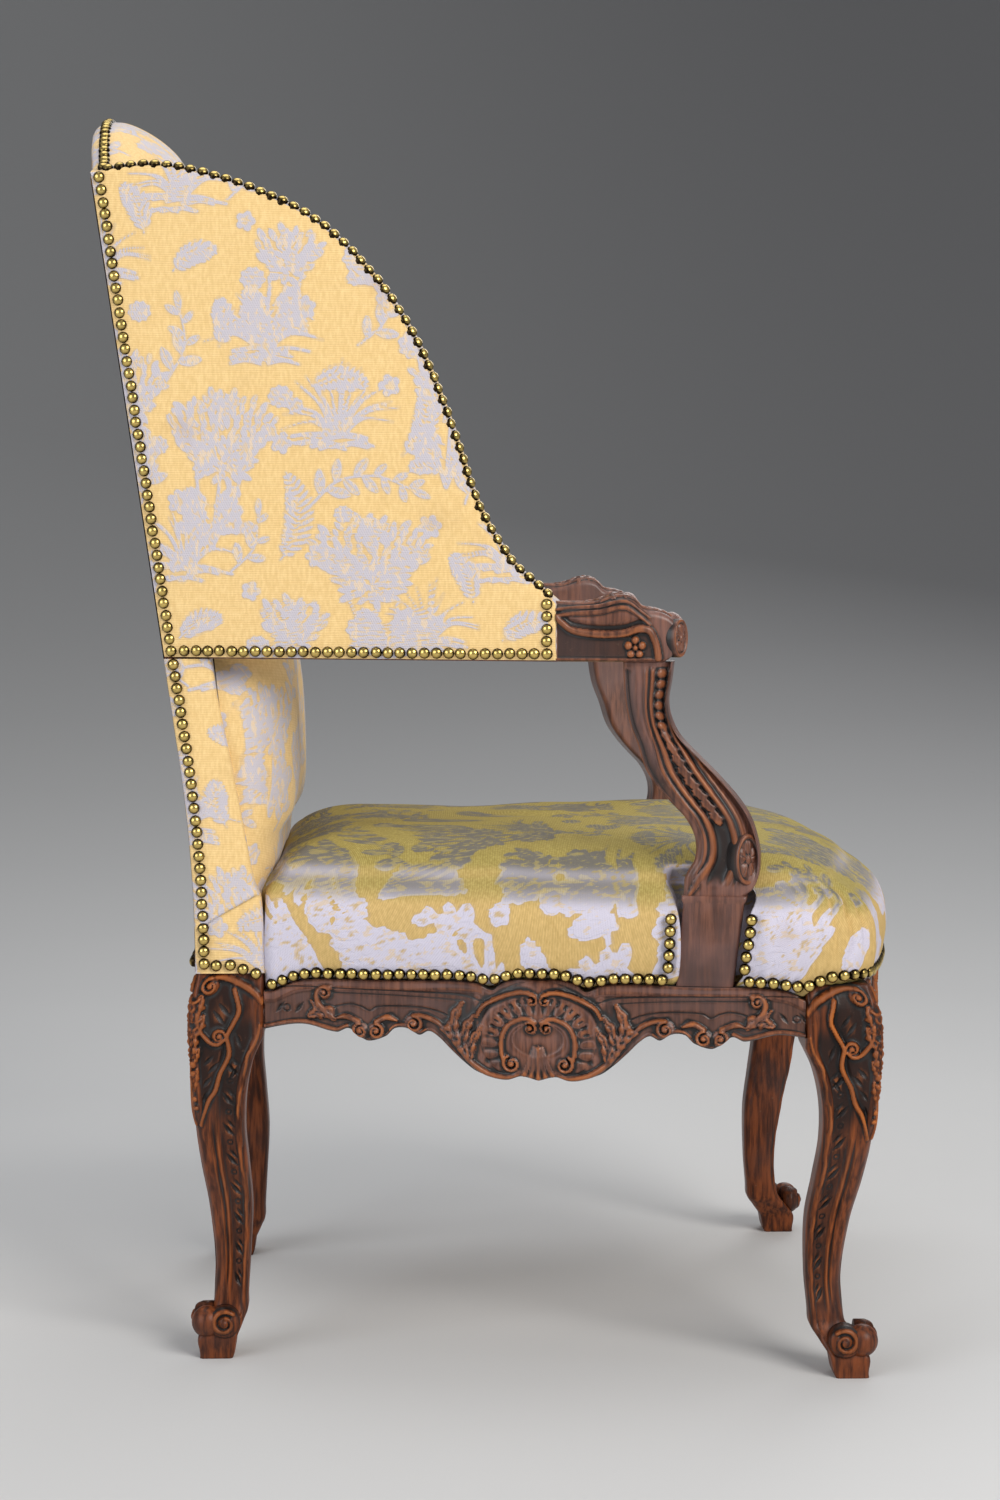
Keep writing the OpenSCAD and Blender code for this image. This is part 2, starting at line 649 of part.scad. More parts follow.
// Distance from the wing's rear edge to the front of the post, along the wing
post_front = post_depth / cos(splay) + 0.5;
foot_drop = 14;
module wing_foot(play) {
    translate([wing_run - 36 - play, 5 - play, arm_height - 4 - foot_drop - play])
        cube([26 + 2 * play, 12 + 2 * play, foot_drop + 10 + play]);
}
module wing_rail() {
    front = [for (p = wing_sweep) if (p[1] > arm_height + 4) p];
    back = [for (p = wing_inner_sweep) if (p[1] > arm_height + 4 && p[0] > wing_rear(p[1]) - 20) p];
    low = [wing_rear(0) + post_front, 0];
    high = [wing_rear(wing_top_z) + post_front, wing_top_z];
    color(beech) along_wing() union() {
        translate([0, wing_thick, 0]) rotate([90, 0, 0]) linear_extrude(wing_thick) intersection() {
            polygon(concat(
                [[wing_run - 0.5, arm_height + wood_gap]], front, reversed(back),
                [[wing_run - 60, arm_height + wood_gap]]
            ));
            polygon([low, [wing_run + 10, 0], [wing_run + 10, wing_top_z + 20], high]);
        }
        wing_foot(0);
    }
}

// Upholstery
// Profile of a domed skin moved inwards by d, as shares of an outline of that mean radius and heights
function dome_inside(keys, d, radius) = [
    for (i = [0 : len(keys) - 1])
        let (
            a = knot(keys, i - 1), b = knot(keys, i + 1),
            n = unit([(b[1] - a[1]), -(b[0] - a[0]) * radius])
        )
        [keys[i][0] - n[0] * d / radius, keys[i][1] - n[1] * d]
];
function reversed(list) = [for (i = [len(list) - 1 : -1 : 0]) list[i]];

// Seat outline along the rebates of the rails, from the middle of the front round to the middle of the rear
side_slope = (side_end[0] - side_start[0]) / (side_end[1] - side_start[1]);
function side_face(y) = -side_start[0] + (side_start[1] - y) * side_slope;
// Depth of the covers behind the face of the rails
cover_inset = rebate_depth - cloth - 2 * soft_gap;
function front_face(x) = front_face_y + front_radius - sqrt((front_radius - cover_inset) ^ 2 - x ^ 2);
seat_rear_y = rear_y - post_depth - 19;
seat_middle_y = seat_rear_y - (seat_rear_y - front_face_y) * 0.471;
// Point of the right side rail's frame, as the same point on the left in the chair's frame
function from_side(x, y) = [
    -side_start[0] - x * cos(side_angle) + y * sin(side_angle),
    side_start[1] + x * sin(side_angle) + y * cos(side_angle)
];
// Notch round the foot of the arm support: its ends along the rail and its depth
notch_front = support_x + 0.95 * support_foot + 1;
notch_rear = support_x - 0.49 * support_foot - 1;
notch_deep = support_depth + 1;
notch_rear_y = from_side(notch_rear, cover_inset)[1];
// Outline point with its kind, 0 plain, 1 at the mouth of the notch, 2 at its back, then its place unnotched
function plain_point(x, y) = [x, y, 0, x, y];
function notch_point(x, y, kind, share) = let (
    p = from_side(x, y),
    rest = from_side(mix(notch_front, notch_rear, share), cover_inset)
) [p[0], p[1], kind, rest[0], rest[1]];
function seat_half(inset) = concat(
    [for (x = [0, 60, 120, 180, 225]) plain_point(x, front_face(x))],
    [plain_point(knee_x - 40, knee_y + 17), plain_point(knee_x - 20, knee_y + 30)],
    [plain_point(knee_x - 10, knee_y + 52)],
    [for (d = [73, 104]) plain_point(side_face(knee_y + d) - cover_inset, knee_y + d)],
    [
        notch_point(notch_front + inset, cover_inset, 1, 0),
        notch_point(notch_front + inset, notch_deep + inset, 2, 0.3),
        notch_point(notch_rear - inset, notch_deep + inset, 2, 0.7),
        notch_point(notch_rear - inset, cover_inset, 1, 1)
    ],
    [for (t = [0.06, 0.26, 0.45, 0.64, 0.84, 0.97])
        let (y = mix(notch_rear_y, side_start[1] - 40, t)) plain_point(side_face(y) - cover_inset, y)],
    [plain_point(side_face(side_start[1] - 6) - 4, side_start[1] - 5)],
    [plain_point(post_x - post_width - 2, side_start[1] - 4)],
    [for (x = [post_x - post_width - 12, 110, 0]) plain_point(x, seat_rear_y)]
);
function seat_around(inset) =
    let (half = seat_half(inset))
    concat(half, [
        for (i = [len(half) - 2 : -1 : 1]) let (p = half[i]) [-p[0], p[1], p[2], -p[3], p[4]]
    ]);
// Dome of the seat: share of the outline against the height above the rails, as a share of the whole crown
crown_high = seat_crown - rail_top;
seat_side = 290;
function swell(t) = 1 + seat_swell * t / seat_side;
seat_profile = [
    [1, 0.032], [swell(0.7), 0.09], [swell(0.95), 0.19], [swell(1), 0.31], [swell(0.85), 0.43],
    [swell(0.35), 0.54], [swell(-0.4), 0.62], [swell(-1.5), 0.7], [0.885, 0.79], [0.8, 0.87],
    [0.68, 0.93], [0.5, 0.975], [0.26, 0.995]
];
function in_mm(profile) = [for (k = profile) [k[0], rail_top + crown_high * k[1]]];
// Ring of the seat at share k[0] and height k[1], with the notches larger by inset; they fade out on the top
function seat_ring(k, inset) = [
    for (p = seat_around(inset))
        let (
            back = max(0, min(1, (p[4] - seat_rear_y) / 70 + 1.24)),
            s = mix(k[0], min(k[0], 1) ^ 0.6, back),
            held = p[2] > 0 ? max(0, min(1, (k[0] - 0.8) / 0.1)) : 0,
            plain_y = seat_middle_y + (p[4] - seat_middle_y) * s - inset * back
        )
        [mix(p[3], p[0], held) * (p[2] == 2 ? min(k[0], 1) : k[0]), mix(plain_y, p[1], held), k[1]]
];
module seat_cover() {
    outer = in_mm(seat_profile);
    inner = dome_inside(outer, cloth, seat_side);
    color(brocade) loft(concat(
        [for (k = reversed(inner)) seat_ring(k, cloth)],
        [for (k = outer) seat_ring(k, 0)]
    ));
}
// Hessian over the springs, nailed on the tacking strips
strip_top = rail_top + rebate_height;
hessian = 1.2;
hessian_profile = [
    [0.985, strip_top + soft_gap + hessian], [0.93, strip_top + 3], [0.86, strip_top + 24],
    [0.78, strip_top + 45],
    [0.66, strip_top + 57], [0.35, strip_top + 60]
];
module seat_hessian() {
    under = dome_inside(hessian_profile, hessian, seat_side);
    flat_under = [for (i = [0 : len(under) - 1]) i == 0 ? [under[0][0], strip_top + soft_gap] : under[i]];
    color(hessian_brown)
        loft([for (k = concat(reversed(flat_under), hessian_profile)) seat_ring(k, cloth + soft_gap)]);
}
module seat_stuffing() {
    skin = dome_inside(in_mm(seat_profile), cloth + soft_gap, seat_side);
    top = [for (i = [3, 5, 7, 8, 10, 12]) skin[i]];
    edge = [skin[1][0] - 0.004, strip_top + soft_gap * 2 + hessian];
    under = dome_inside(hessian_profile, -3 * soft_gap, seat_side);
    hollow = [for (i = [0 : len(under) - 1]) i == 0 ? [under[0][0], edge[1]] : under[i]];
    color(horsehair) loft([for (k = concat(reversed(hollow), [edge], top)) seat_ring(k, cloth + soft_gap)]);
}

// Straps woven across the underside of the seat frame
web_z = rail_top - 42;
module seat_webbing() {
    spread = 96;
    front_inner = front_face_y + rail_thick + 3;
    layer = web_thick + 0.1;
    color(hessian_brown) {
        for (x = [-1, 0, 1])
            translate([x * spread - web_width / 2, front_inner + 0.12 * abs(x) * spread, web_z])
            cube([web_width, rear_rail_y - soft_gap - front_inner - 0.12 * abs(x) * spread, web_thick]);
        for (y = [-215, -135, -60, 15, 95, 175])
            translate([-side_face(y + web_width / 2) + rail_thick + 2, y - web_width / 2, web_z + layer])
                cube([2 * (side_face(y + web_width / 2) - rail_thick - 2), web_width, web_thick]);
    }
}

// One waisted spring as a single swept wire
spring_base = web_z + 2 * web_thick + 0.1 + soft_gap + spring_wire / 2;
spring_top = strip_top + 49;
spring_steps = 8 * spring_turns;
function spring_point(t) =
    let (a = 360 * spring_turns * t, r = spring_radius * (1 - 0.34 * sin(180 * t)))
    [r * cos(a), r * sin(a), mix(spring_base, spring_top, t)];
spring_path = [for (i = [0 : spring_steps]) spring_point(i / spring_steps)];
function wire_ring(path, i) =
    let (
        d = unit(knot(path, i + 1) - knot(path, i - 1)),
        u = unit(cross([0, 0, 1], d)), v = cross(d, u)
    )
    [for (a = [0 : 60 : 300]) path[i] + spring_wire / 2 * (cos(a) * u + sin(a) * v)];
spring_least = min([
    for (i = [0 : spring_steps], j = [0 : spring_steps])
        if (j - i >= 5) norm(spring_path[i] - spring_path[j])
]);
echo(least_gap_between_spring_turns = spring_least - spring_wire);
module seat_springs() {
    color(steel_wire) for (x = [-115, 0, 115], y = [-200, -65, 70]) translate([x, y, 0])
        loft([for (i = [0 : spring_steps]) wire_ring(spring_path, i)]);
}

// Back upholstery
pad_half = post_x - 27;
pad_low = rail_top + 70;
pad_middle = (pad_low + overall_height) / 2 - 30;
pad_rim = post_depth + web_thick + 3 * soft_gap;
// Half outline of the back pad: across, height, and depth of its rim in front of the rear face
back_half = concat(
    [for (x = [0, 70]) [x, pad_low, pad_rim]],
    [[135, pad_low + 1, pad_rim], [pad_half, pad_low + 10, pad_rim]],
    [for (z = [0.08, 0.22]) [pad_half + 10, mix(pad_low, shoulder_height, z), pad_rim]],
    [for (z = [0.38, 0.54, 0.7, 0.86, 0.97]) [pad_half, mix(pad_low, shoulder_height, z), pad_rim]],
    [[pad_half + 2, shoulder_height - 4, 40], [post_x - 13, shoulder_height + 5, 31]],
    [for (x = [0.95, 0.84, 0.7, 0.54, 0.37, 0.19, 0])
        [x * post_x, shoulder_height + 3 + (overall_height - shoulder_height - 3) * curve(crest_keys, x), 2]]
);
back_around = concat(back_half, [
    for (i = [len(back_half) - 2 : -1 : 1]) [-back_half[i][0], back_half[i][1], back_half[i][2]]
]);
// Swell of the back pad against the height, as a share of its greatest depth
back_swell_keys = [
    [pad_low, 0.3], [pad_low + 42, 0.52], [pad_low + 87, 0.76], [pad_low + 157, 0.94], [pad_low + 240, 1],
    [pad_low + 350, 0.97], [pad_low + 500, 0.84], [pad_low + 650, 0.63],
    [shoulder_height + 20, 0.48], [overall_height, 0.35]
];
back_profile = [
    [0.99, 0], [1, 0.25], [0.985, 0.5], [0.95, 0.72], [0.88, 0.86], [0.75, 0.95], [0.52, 1], [0.25, 1]
];
function back_ring(k, d) = [
    for (p = back_around)
        let (
            z = pad_middle + (p[1] - pad_middle) * k[0],
            on_post = p[0] * k[0] > post_x - post_width - 2 || -p[0] * k[0] > post_x - post_width - 2,
            rim = mix(p[2], pad_rim, min(1, k[1] * 1.2)),
            full = rim + back_pad_depth * k[1] * curve(back_swell_keys, z),
            deep = on_post && z < arm_under ? max(full, post_deep(z) + pad_rim - post_depth) : full
        )
        [p[0] * k[0], back_line(z) - max(2, deep - d), z]
];
function shrunk(profile, d) = [for (k = profile) [k[0] - d / 190 * (1 - k[1] ^ 3), k[1]]];
module back_inside_cover() {
    inner = shrunk(back_profile, cloth);
    color(brocade) loft(concat(
        [for (k = reversed(inner)) back_ring(k, cloth * k[1] ^ 0.5)],
        [for (k = back_profile) back_ring(k, 0)]
    ));
}
module back_stuffing() {
    d = cloth + soft_gap;
    skin = shrunk(back_profile, d + 0.4);
    first = [for (p = back_around)
        let (z = pad_middle + (p[1] - pad_middle) * 0.86) [p[0] * 0.86, back_line(z) - pad_rim - 3, z]];
    color(horsehair) loft(concat([first], [
        for (i = [4, 5, 7]) back_ring([skin[i][0] * 0.965, skin[i][1]], d * 1.4)
    ]));
}
module back_webbing() {
    reach = post_x - post_width / 2 - 4;
    color(hessian_brown) for (z = [700, 790, 880, 970, 1060])
        on_back(z) translate([-reach, -post_depth * cos(back_rake) - web_thick - soft_gap, 0])
            cube([2 * reach, web_thick, web_width]);
}
// Outside back cloth, nailed round its edge
module back_outside_cover() {
    low = rail_top + rebate_height + 3;
    shares = [0.96, 0.85, 0.7, 0.5, 0.3, 0.12];
    straight = [for (z = [low, low + 60, low + 110, low + 160, low + 210, shoulder_height]) [post_x - 1, z]];
    arched = [for (u = shares)
        [u * (post_x - 1), shoulder_height + (overall_height - 6 - shoulder_height) * curve(crest_keys, u)]];
    color(brocade) loft(turned([for (p = concat(straight, arched))
        let (y = back_line(p[1]) + soft_gap)
        [[-p[0], y, p[1]], [-p[0], y + cloth, p[1]], [p[0], y + cloth, p[1]], [p[0], y, p[1]]]]));
}
// Cloth on the outer side of a back post, below the arm
module post_cover() {
    levels = concat([for (h = post_steps) if (rail_top + h < arm_under - 10) rail_top + h], [arm_under - 1]);
    x = -post_x - soft_gap;
    color(brocade) loft([for (z = levels)
        let (y = back_line(z))
        [[x - cloth, y - post_deep(z), z], [x, y - post_deep(z), z], [x, y, z], [x - cloth, y, z]]]);
}

// Wing upholstery
wing_edge = [for (p = wing_sweep) if (p[1] > arm_height + 3) p];
wing_back_edge = [for (t = [0.93, 0.75, 0.55, 0.35, 0.15])
    [wing_rear(wing_top_z * t) + post_depth + 4, wing_top_z * t]];
wing_foot_edge = [[wing_rear(3) + post_depth + 4, 3], [120, 3], [220, 3], [300, 3], [wing_run - 14, 5]];
wing_trimmed = [for (p = wing_edge) if (p[0] > wing_rear(p[1]) + post_depth) p];
// The two ends of the front edge are doubled, so that the skin steps over the rail's edge there
wing_around = concat(
    wing_trimmed, [wing_trimmed[len(wing_trimmed) - 1] - [0.5, 0]],
    wing_back_edge, wing_foot_edge, [wing_trimmed[0] - [0.2, 1]]
);
wing_centre = [150, 190];
function wing_ring(s, y, proud) = [
    for (i = [0 : len(wing_around) - 1])
        let (
            p = wing_centre + (wing_around[i] - wing_centre) * s,
            out = i < len(wing_trimmed) ? proud : 0,
            q = p - out * normal_at(wing_around, min(i, len(wing_trimmed) - 1))
        )
        [q[0], i < len(wing_trimmed) ? y[0] : y[1], q[1]]
];
module wing_stuffing() {
    low = wing_thick + soft_gap;
    profile = [[0.97, 0], [0.94, 0.55], [0.84, 0.85], [0.6, 0.98], [0.3, 1]];
    color(horsehair) along_wing() loft(turned([for (k = profile)
        let (y = low + (wing_swell - cloth - 2 * soft_gap) * k[1]) wing_ring(k[0], [y, y], 0)]));
}
module wing_inside_cover() {
    low = wing_thick + soft_gap;
    edge = 2;
    skin = [[1, 0], [0.985, 0.55], [0.88, 0.87], [0.62, 1], [0.3, 1.02]];
    outer = concat(
        [wing_ring(1, [edge, low], soft_gap + cloth)],
        [for (k = skin) let (y = low + 0.5 + wing_swell * k[1])
            wing_ring(k[0], [y, y], (1 - k[1]) * (soft_gap + cloth))]
    );
    inner = concat(
        [wing_ring(1, [edge, low], soft_gap)],
        [for (k = skin) let (y = low + 0.3 + (wing_swell - cloth) * k[1])
            wing_ring(k[0] - (k[1] > 0 ? 0.006 : 0), [y, y], (1 - k[1]) * soft_gap)]
    );
    color(brocade) along_wing() loft(turned(concat(reversed(inner), outer)));
}
module wing_outside_cover() {
    line = [for (p = wing_sweep) if (p[1] > arm_height + 1) p];
    rear_line = [for (t = [0.8, 0.6, 0.4, 0.2]) [wing_rear(wing_top_z * t), wing_top_z * t]];
    color(brocade) along_wing() translate([0, -soft_gap, 0]) rotate([90, 0, 0]) linear_extrude(cloth)
        polygon(concat([[wing_run - 0.4, 2], [wing_run - 0.4, arm_height]], line, rear_line, [[0.4, 2]]));
}

front_leg();  // front_leg_right
left_of("left") front_leg();  // front_leg_left
rear_leg();  // rear_leg_right
left_of("left") rear_leg();  // rear_leg_left
side_rail();  // side_rail_right
left_of("left") side_rail();  // side_rail_left
front_rail();
rear_rail();
corner_blocks();
lower_back_rail();
crest_rail();
arm_support();  // arm_support_right
left_of("left") arm_support();  // arm_support_left
arm();  // arm_right
left_of("left") arm();  // arm_left
wing_rail();  // wing_rail_right
left_of("left") wing_rail();  // wing_rail_left
seat_webbing();
seat_springs();
seat_hessian();
seat_stuffing();
seat_cover();
back_webbing();
back_stuffing();
back_inside_cover();
back_outside_cover();
wing_stuffing();  // wing_stuffing_right
left_of("left") wing_stuffing();  // wing_stuffing_left
wing_inside_cover();  // wing_inside_cover_right
left_of("left") wing_inside_cover();  // wing_inside_cover_left
wing_outside_cover();  // wing_outside_cover_right
left_of("left") wing_outside_cover();  // wing_outside_cover_left
post_cover();  // post_cover_right
left_of("left") post_cover();  // post_cover_left
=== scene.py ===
# %% [markdown]
# # A carved and upholstered wing armchair
#
# The exact parts of the chair are loaded as a frame, and this lesson dresses them. Three ideas carry it:
#
# 1. a carved surface is a plain surface plus a *relief*, a height in millimetres over a flat map of it;
# 2. an upholstered surface is a formula, one array of points, with the cloth's own flat coordinates kept
#    beside it so that a woven pattern can follow it round corners;
# 3. a material is arithmetic on shader signals.
#
# All sizes in the formulas are millimetres, and only `make_mesh` turns them into Blender's metres. The
# chair faces -Y, and the sitter's right is -X. The right side is worked out, and the left is its mirror.

import json
import math

import bpy
import numpy as np
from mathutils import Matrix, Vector

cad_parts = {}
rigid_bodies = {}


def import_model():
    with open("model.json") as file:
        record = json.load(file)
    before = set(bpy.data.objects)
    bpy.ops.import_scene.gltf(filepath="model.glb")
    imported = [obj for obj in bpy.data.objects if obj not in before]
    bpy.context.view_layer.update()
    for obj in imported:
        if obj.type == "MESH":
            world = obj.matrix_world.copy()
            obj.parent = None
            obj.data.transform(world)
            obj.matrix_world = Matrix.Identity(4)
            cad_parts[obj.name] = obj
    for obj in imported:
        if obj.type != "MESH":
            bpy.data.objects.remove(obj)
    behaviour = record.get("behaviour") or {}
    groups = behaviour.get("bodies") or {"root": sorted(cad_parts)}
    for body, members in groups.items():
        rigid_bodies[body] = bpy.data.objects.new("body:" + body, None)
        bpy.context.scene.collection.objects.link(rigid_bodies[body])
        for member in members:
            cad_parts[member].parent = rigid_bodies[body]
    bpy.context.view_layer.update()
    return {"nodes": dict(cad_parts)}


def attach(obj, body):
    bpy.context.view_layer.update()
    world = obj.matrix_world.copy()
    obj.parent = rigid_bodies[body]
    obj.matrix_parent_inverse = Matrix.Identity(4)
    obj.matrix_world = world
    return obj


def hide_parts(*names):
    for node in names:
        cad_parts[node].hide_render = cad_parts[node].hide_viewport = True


for thing in list(bpy.data.objects):
    bpy.data.objects.remove(thing)
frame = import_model()
print("nodes in the frame:", len(frame["nodes"]))

# %% [markdown]
# ## Sizes shared with the exact model
#
# With the driving dimensions of the exact model, a carved piece lands on the solid that it stands for. The
# back rakes by `RAKE` after a bend above the seat, and the origin lies under the middle of the depth.

# %% Driving dimensions
HEIGHT = 1232.0  # floor to crest
KNEE_X = 308.0  # middle to a front knee
POST_X = 215.0  # middle to the outer face of a back post
DEPTH = 662.0  # front knee to the rear of the back, at the seat
RAIL_TOP = 383.0
RAIL_THICK = 30.0
FRONT_BOW = 41.0
BLOCK = 72.0  # side of the block at the head of a leg
ANKLE = 34.0
FRONT_SWEEP = 32.0  # how far a front ankle stands in from its knee
REAR_SWEEP = 22.0
RAKE = math.radians(8.06)
SHOULDER = 1163.0  # floor to the upper corners of the back
POST_DEPTH = 44.0
ARM_UNDER = 697.0  # floor to the underside of the arms
ARM_HEIGHT = 56.0
ARM_SPREAD = 290.0  # middle to the outer face of an arm
SUPPORT_FOOT = 57.0  # length of an arm support on the rail
SUPPORT_DEPTH = 34.0

SLOPE = math.tan(RAKE)
BEND_FOOT = RAIL_TOP + 17
BEND_RISE = 200.0
REAR_Y = (DEPTH + FRONT_BOW - SLOPE * (HEIGHT - BEND_FOOT - BEND_RISE / 2)) / 2
KNEE_Y = REAR_Y - DEPTH
REAR_KNEE_X = POST_X + 6
REAR_KNEE_Y = REAR_Y + 6
ARM_TIP_Y = KNEE_Y + 187
WING_FRONT_Y = ARM_TIP_Y + 126
ARM_TOP = ARM_UNDER + ARM_HEIGHT
print("rear face of the back at the seat, y in mm:", round(REAR_Y, 1))

# %% [markdown]
# ## Curves
#
# `keyed` is the cubic that passes through keys $(x_i, y_i)$, with each slope taken from the two neighbouring
# keys, and `flow` is the same idea for a line in the plane or in space. Blender's curve objects could do it
# too, but an array of points can be measured, offset and carved at once.


# %% Lines through keys
def keyed(keys, x):
    """y(x) = h00 y0 + h10 dx m0 + h01 y1 + h11 dx m1, the Hermite cubic of the span that holds x."""
    k = np.asarray(keys, float)
    x = np.clip(x, k[0, 0], k[-1, 0])
    i = np.clip(np.searchsorted(k[:, 0], x, side="right") - 1, 0, len(k) - 2)
    before = np.maximum(np.arange(len(k)) - 1, 0)
    after = np.minimum(np.arange(len(k)) + 1, len(k) - 1)
    slope = (k[after, 1] - k[before, 1]) / (k[after, 0] - k[before, 0])
    dx = k[i + 1, 0] - k[i, 0]
    t = (x - k[i, 0]) / dx
    low = (2 * t**3 - 3 * t**2 + 1) * k[i, 1] + (t**3 - 2 * t**2 + t) * dx * slope[i]
    return low + (3 * t**2 - 2 * t**3) * k[i + 1, 1] + (t**3 - t**2) * dx * slope[i + 1]


def flow(points, steps=6, closed=False):
    """Catmull-Rom line: p(t) = b + (c-a)t/2 + (2a-5b+4c-d)t^2/2 + (3b-a-3c+d)t^3/2."""
    p = np.asarray(points, float)
    n = len(p)
    i = np.arange(n if closed else n - 1)
    hold = (lambda j: j % n) if closed else (lambda j: np.clip(j, 0, n - 1))
    a, b, c, d = (p[hold(i + j)][:, None] for j in (-1, 0, 1, 2))
    t = (np.arange(steps) / steps)[None, :, None]
    line = b + (c - a) * t / 2 + (2 * a - 5 * b + 4 * c - d) * t**2 / 2 + (3 * b - a - 3 * c + d) * t**3 / 2
    line = line.reshape(-1, p.shape[1])
    return line if closed else np.vstack([line, p[-1]])


def even(line, count):
    """The same line with `count` points at equal distances along it."""
    run = np.concatenate([[0], np.cumsum(np.linalg.norm(np.diff(line, axis=0), axis=1))])
    s = np.linspace(0, run[-1], count)
    return np.stack([np.interp(s, run, line[:, j]) for j in range(line.shape[1])], axis=1)


# %% Soft switches
def step(x, low, high):
    """Smooth step: 0 below low, 1 above high, 3t^2 - 2t^3 between."""
    t = np.clip((x - low) / (high - low), 0, 1)
    return t * t * (3 - 2 * t)


def bump(x, middle, width):
    """exp(-((x - middle) / width)^2)"""
    return np.exp(-(((x - middle) / width) ** 2))


def mix(a, b, t):
    """a + (b - a) t"""
    return a + (b - a) * t


# %% The raked line of the back
def back_line(z):
    """y of the back's rear face: upright at the seat, a parabola over the bend, then the straight rake."""
    bend = np.clip(z - BEND_FOOT, 0, BEND_RISE)
    return REAR_Y + SLOPE * (bend**2 / (2 * BEND_RISE) + np.maximum(z - BEND_FOOT - BEND_RISE, 0))


def post_deep(z):
    """Depth of a back post, which spreads towards the leg block."""
    keys = [[0, 22], [76, 20], [95, 14], [164, 7], [213, 4], [290, 0], [900, 0]]
    return POST_DEPTH + keyed(keys, z - RAIL_TOP)


print("rake of the whole back in mm:", round(float(back_line(HEIGHT)) - REAR_Y, 1))

# %% [markdown]
# ## Meshes from whole arrays
#
# A surface is an array of shape (rows, columns, 3). `skin` turns it into a mesh, joins the last column
# to the first when the section is closed, and closes the ends with a fan. Fields such as the height of
# the carving travel with it as point attributes, which a material can read. `foreach_set` copies a whole
# array into the mesh in one call; making the same faces one by one would take minutes.


# %% One object from arrays
def make_mesh(name, points, faces, fields=None):
    """One object from points in millimetres, faces and named point fields."""
    mesh = bpy.data.meshes.new(name)
    points = np.asarray(points, float).reshape(-1, 3) * 0.001
    faces = [np.asarray(f, int) for f in faces if len(f)]
    corners = np.concatenate([f.ravel() for f in faces])
    sizes = np.concatenate([np.full(len(f), f.shape[1]) for f in faces])
    mesh.vertices.add(len(points))
    mesh.vertices.foreach_set("co", points.ravel())
    mesh.loops.add(len(corners))
    mesh.loops.foreach_set("vertex_index", corners)
    mesh.polygons.add(len(sizes))
    mesh.polygons.foreach_set("loop_start", np.concatenate([[0], np.cumsum(sizes)[:-1]]))
    mesh.polygons.foreach_set("use_smooth", np.ones(len(sizes), bool))
    mesh.update(calc_edges=True)
    for key, value in (fields or {}).items():
        mesh.attributes.new(key, "FLOAT", "POINT").data.foreach_set("value", np.asarray(value, float))
    thing = bpy.data.objects.new(name, mesh)
    bpy.context.scene.collection.objects.link(thing)
    return thing


def quads(rows, columns, closed):
    """Corner numbers of the faces between the rows and columns of a grid."""
    i, j = np.meshgrid(np.arange(rows - 1), np.arange(columns if closed else columns - 1), indexing="ij")
    k = (j + 1) % columns
    top, low = i * columns, (i + 1) * columns
    return np.stack([top + j, top + k, low + k, low + j], -1).reshape(-1, 4)


# %% Skins that face outwards
def volume(points, faces):
    """Sum of (a x b) . c / 6 over fans of the faces: positive when they point outwards."""
    total = 0.0
    for f in faces:
        for j in range(1, f.shape[1] - 1):
            a, b, c = points[f[:, 0]], points[f[:, j]], points[f[:, j + 1]]
            total += np.einsum("ij,ij->", np.cross(a, b), c) / 6
    return total


def area_vector(points, faces):
    """Sum of (c - a) x (d - b) / 2 over faces a, b, c, d: the way that an open surface faces as a whole."""
    a, b, c, d = (points[faces[:, j]] for j in range(4))
    return np.cross(c - a, d - b).sum(0) / 2


def skin(name, grid, closed=True, caps=True, fields=None, facing=(0, 0, 1)):
    """Mesh of a grid of points: a closed and capped skin faces outwards, an open one the way of facing."""
    rows, columns = grid.shape[:2]
    if fields and "relief" in fields:
        fields = {**fields, "edge": cavity(np.asarray(fields["relief"], float), closed)}
    points = grid.reshape(-1, 3)
    faces = [quads(rows, columns, closed)]
    fields = {k: np.asarray(v, float).ravel() for k, v in (fields or {}).items()}
    if closed and caps:
        ends = np.stack([grid[0].mean(0), grid[-1].mean(0)])
        ring = np.arange(columns)
        follow = (ring + 1) % columns
        last = (rows - 1) * columns
        n = len(points)
        faces.append(np.stack([np.full(columns, n), follow, ring], 1))
        faces.append(np.stack([np.full(columns, n + 1), last + ring, last + follow], 1))
        points = np.vstack([points, ends])
        for k, v in fields.items():
            fields[k] = np.append(v, [v[:columns].mean(), v[last:].mean()])
        turn = volume(points, faces) < 0
    else:
        turn = area_vector(points, faces[0]) @ facing < 0
    if turn:
        faces = [f[:, ::-1] for f in faces]
    return make_mesh(name, points, faces, fields)


def cavity(h, closed):
    """How far the relief stands above its average nearby: positive on ridges, negative in hollows."""
    soft = h.copy()
    for _ in range(9):
        around = np.pad(soft, ((1, 1), (0, 0)), mode="edge")
        soft = (around[:-2] + 2 * soft + around[2:]) / 4
        around = np.pad(soft, ((0, 0), (1, 1)), mode="wrap" if closed else "edge")
        soft = (around[:, :-2] + 2 * soft + around[:, 2:]) / 4
    return h - soft


# %% Mirror images and joined pieces
def mirrored(thing, name):
    """Copy on the sitter's other side: x becomes -x, and the faces are turned round."""
    mesh = thing.data.copy()
    mesh.name = name
    points = np.empty(len(mesh.vertices) * 3)
    mesh.vertices.foreach_get("co", points)
    points[0::3] *= -1
    mesh.vertices.foreach_set("co", points)
    mesh.flip_normals()
    copy = bpy.data.objects.new(name, mesh)
    bpy.context.scene.collection.objects.link(copy)
    return copy


def both_sides(piece, *nodes):
    """A right piece and its mirror image, each in place of the exact parts of its own side."""
    other = mirrored(piece, piece.name.replace("_right", "_left"))
    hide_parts(*[f"{node}_right" for node in nodes])
    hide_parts(*[f"{node}_left" for node in nodes])
    return [piece, other]


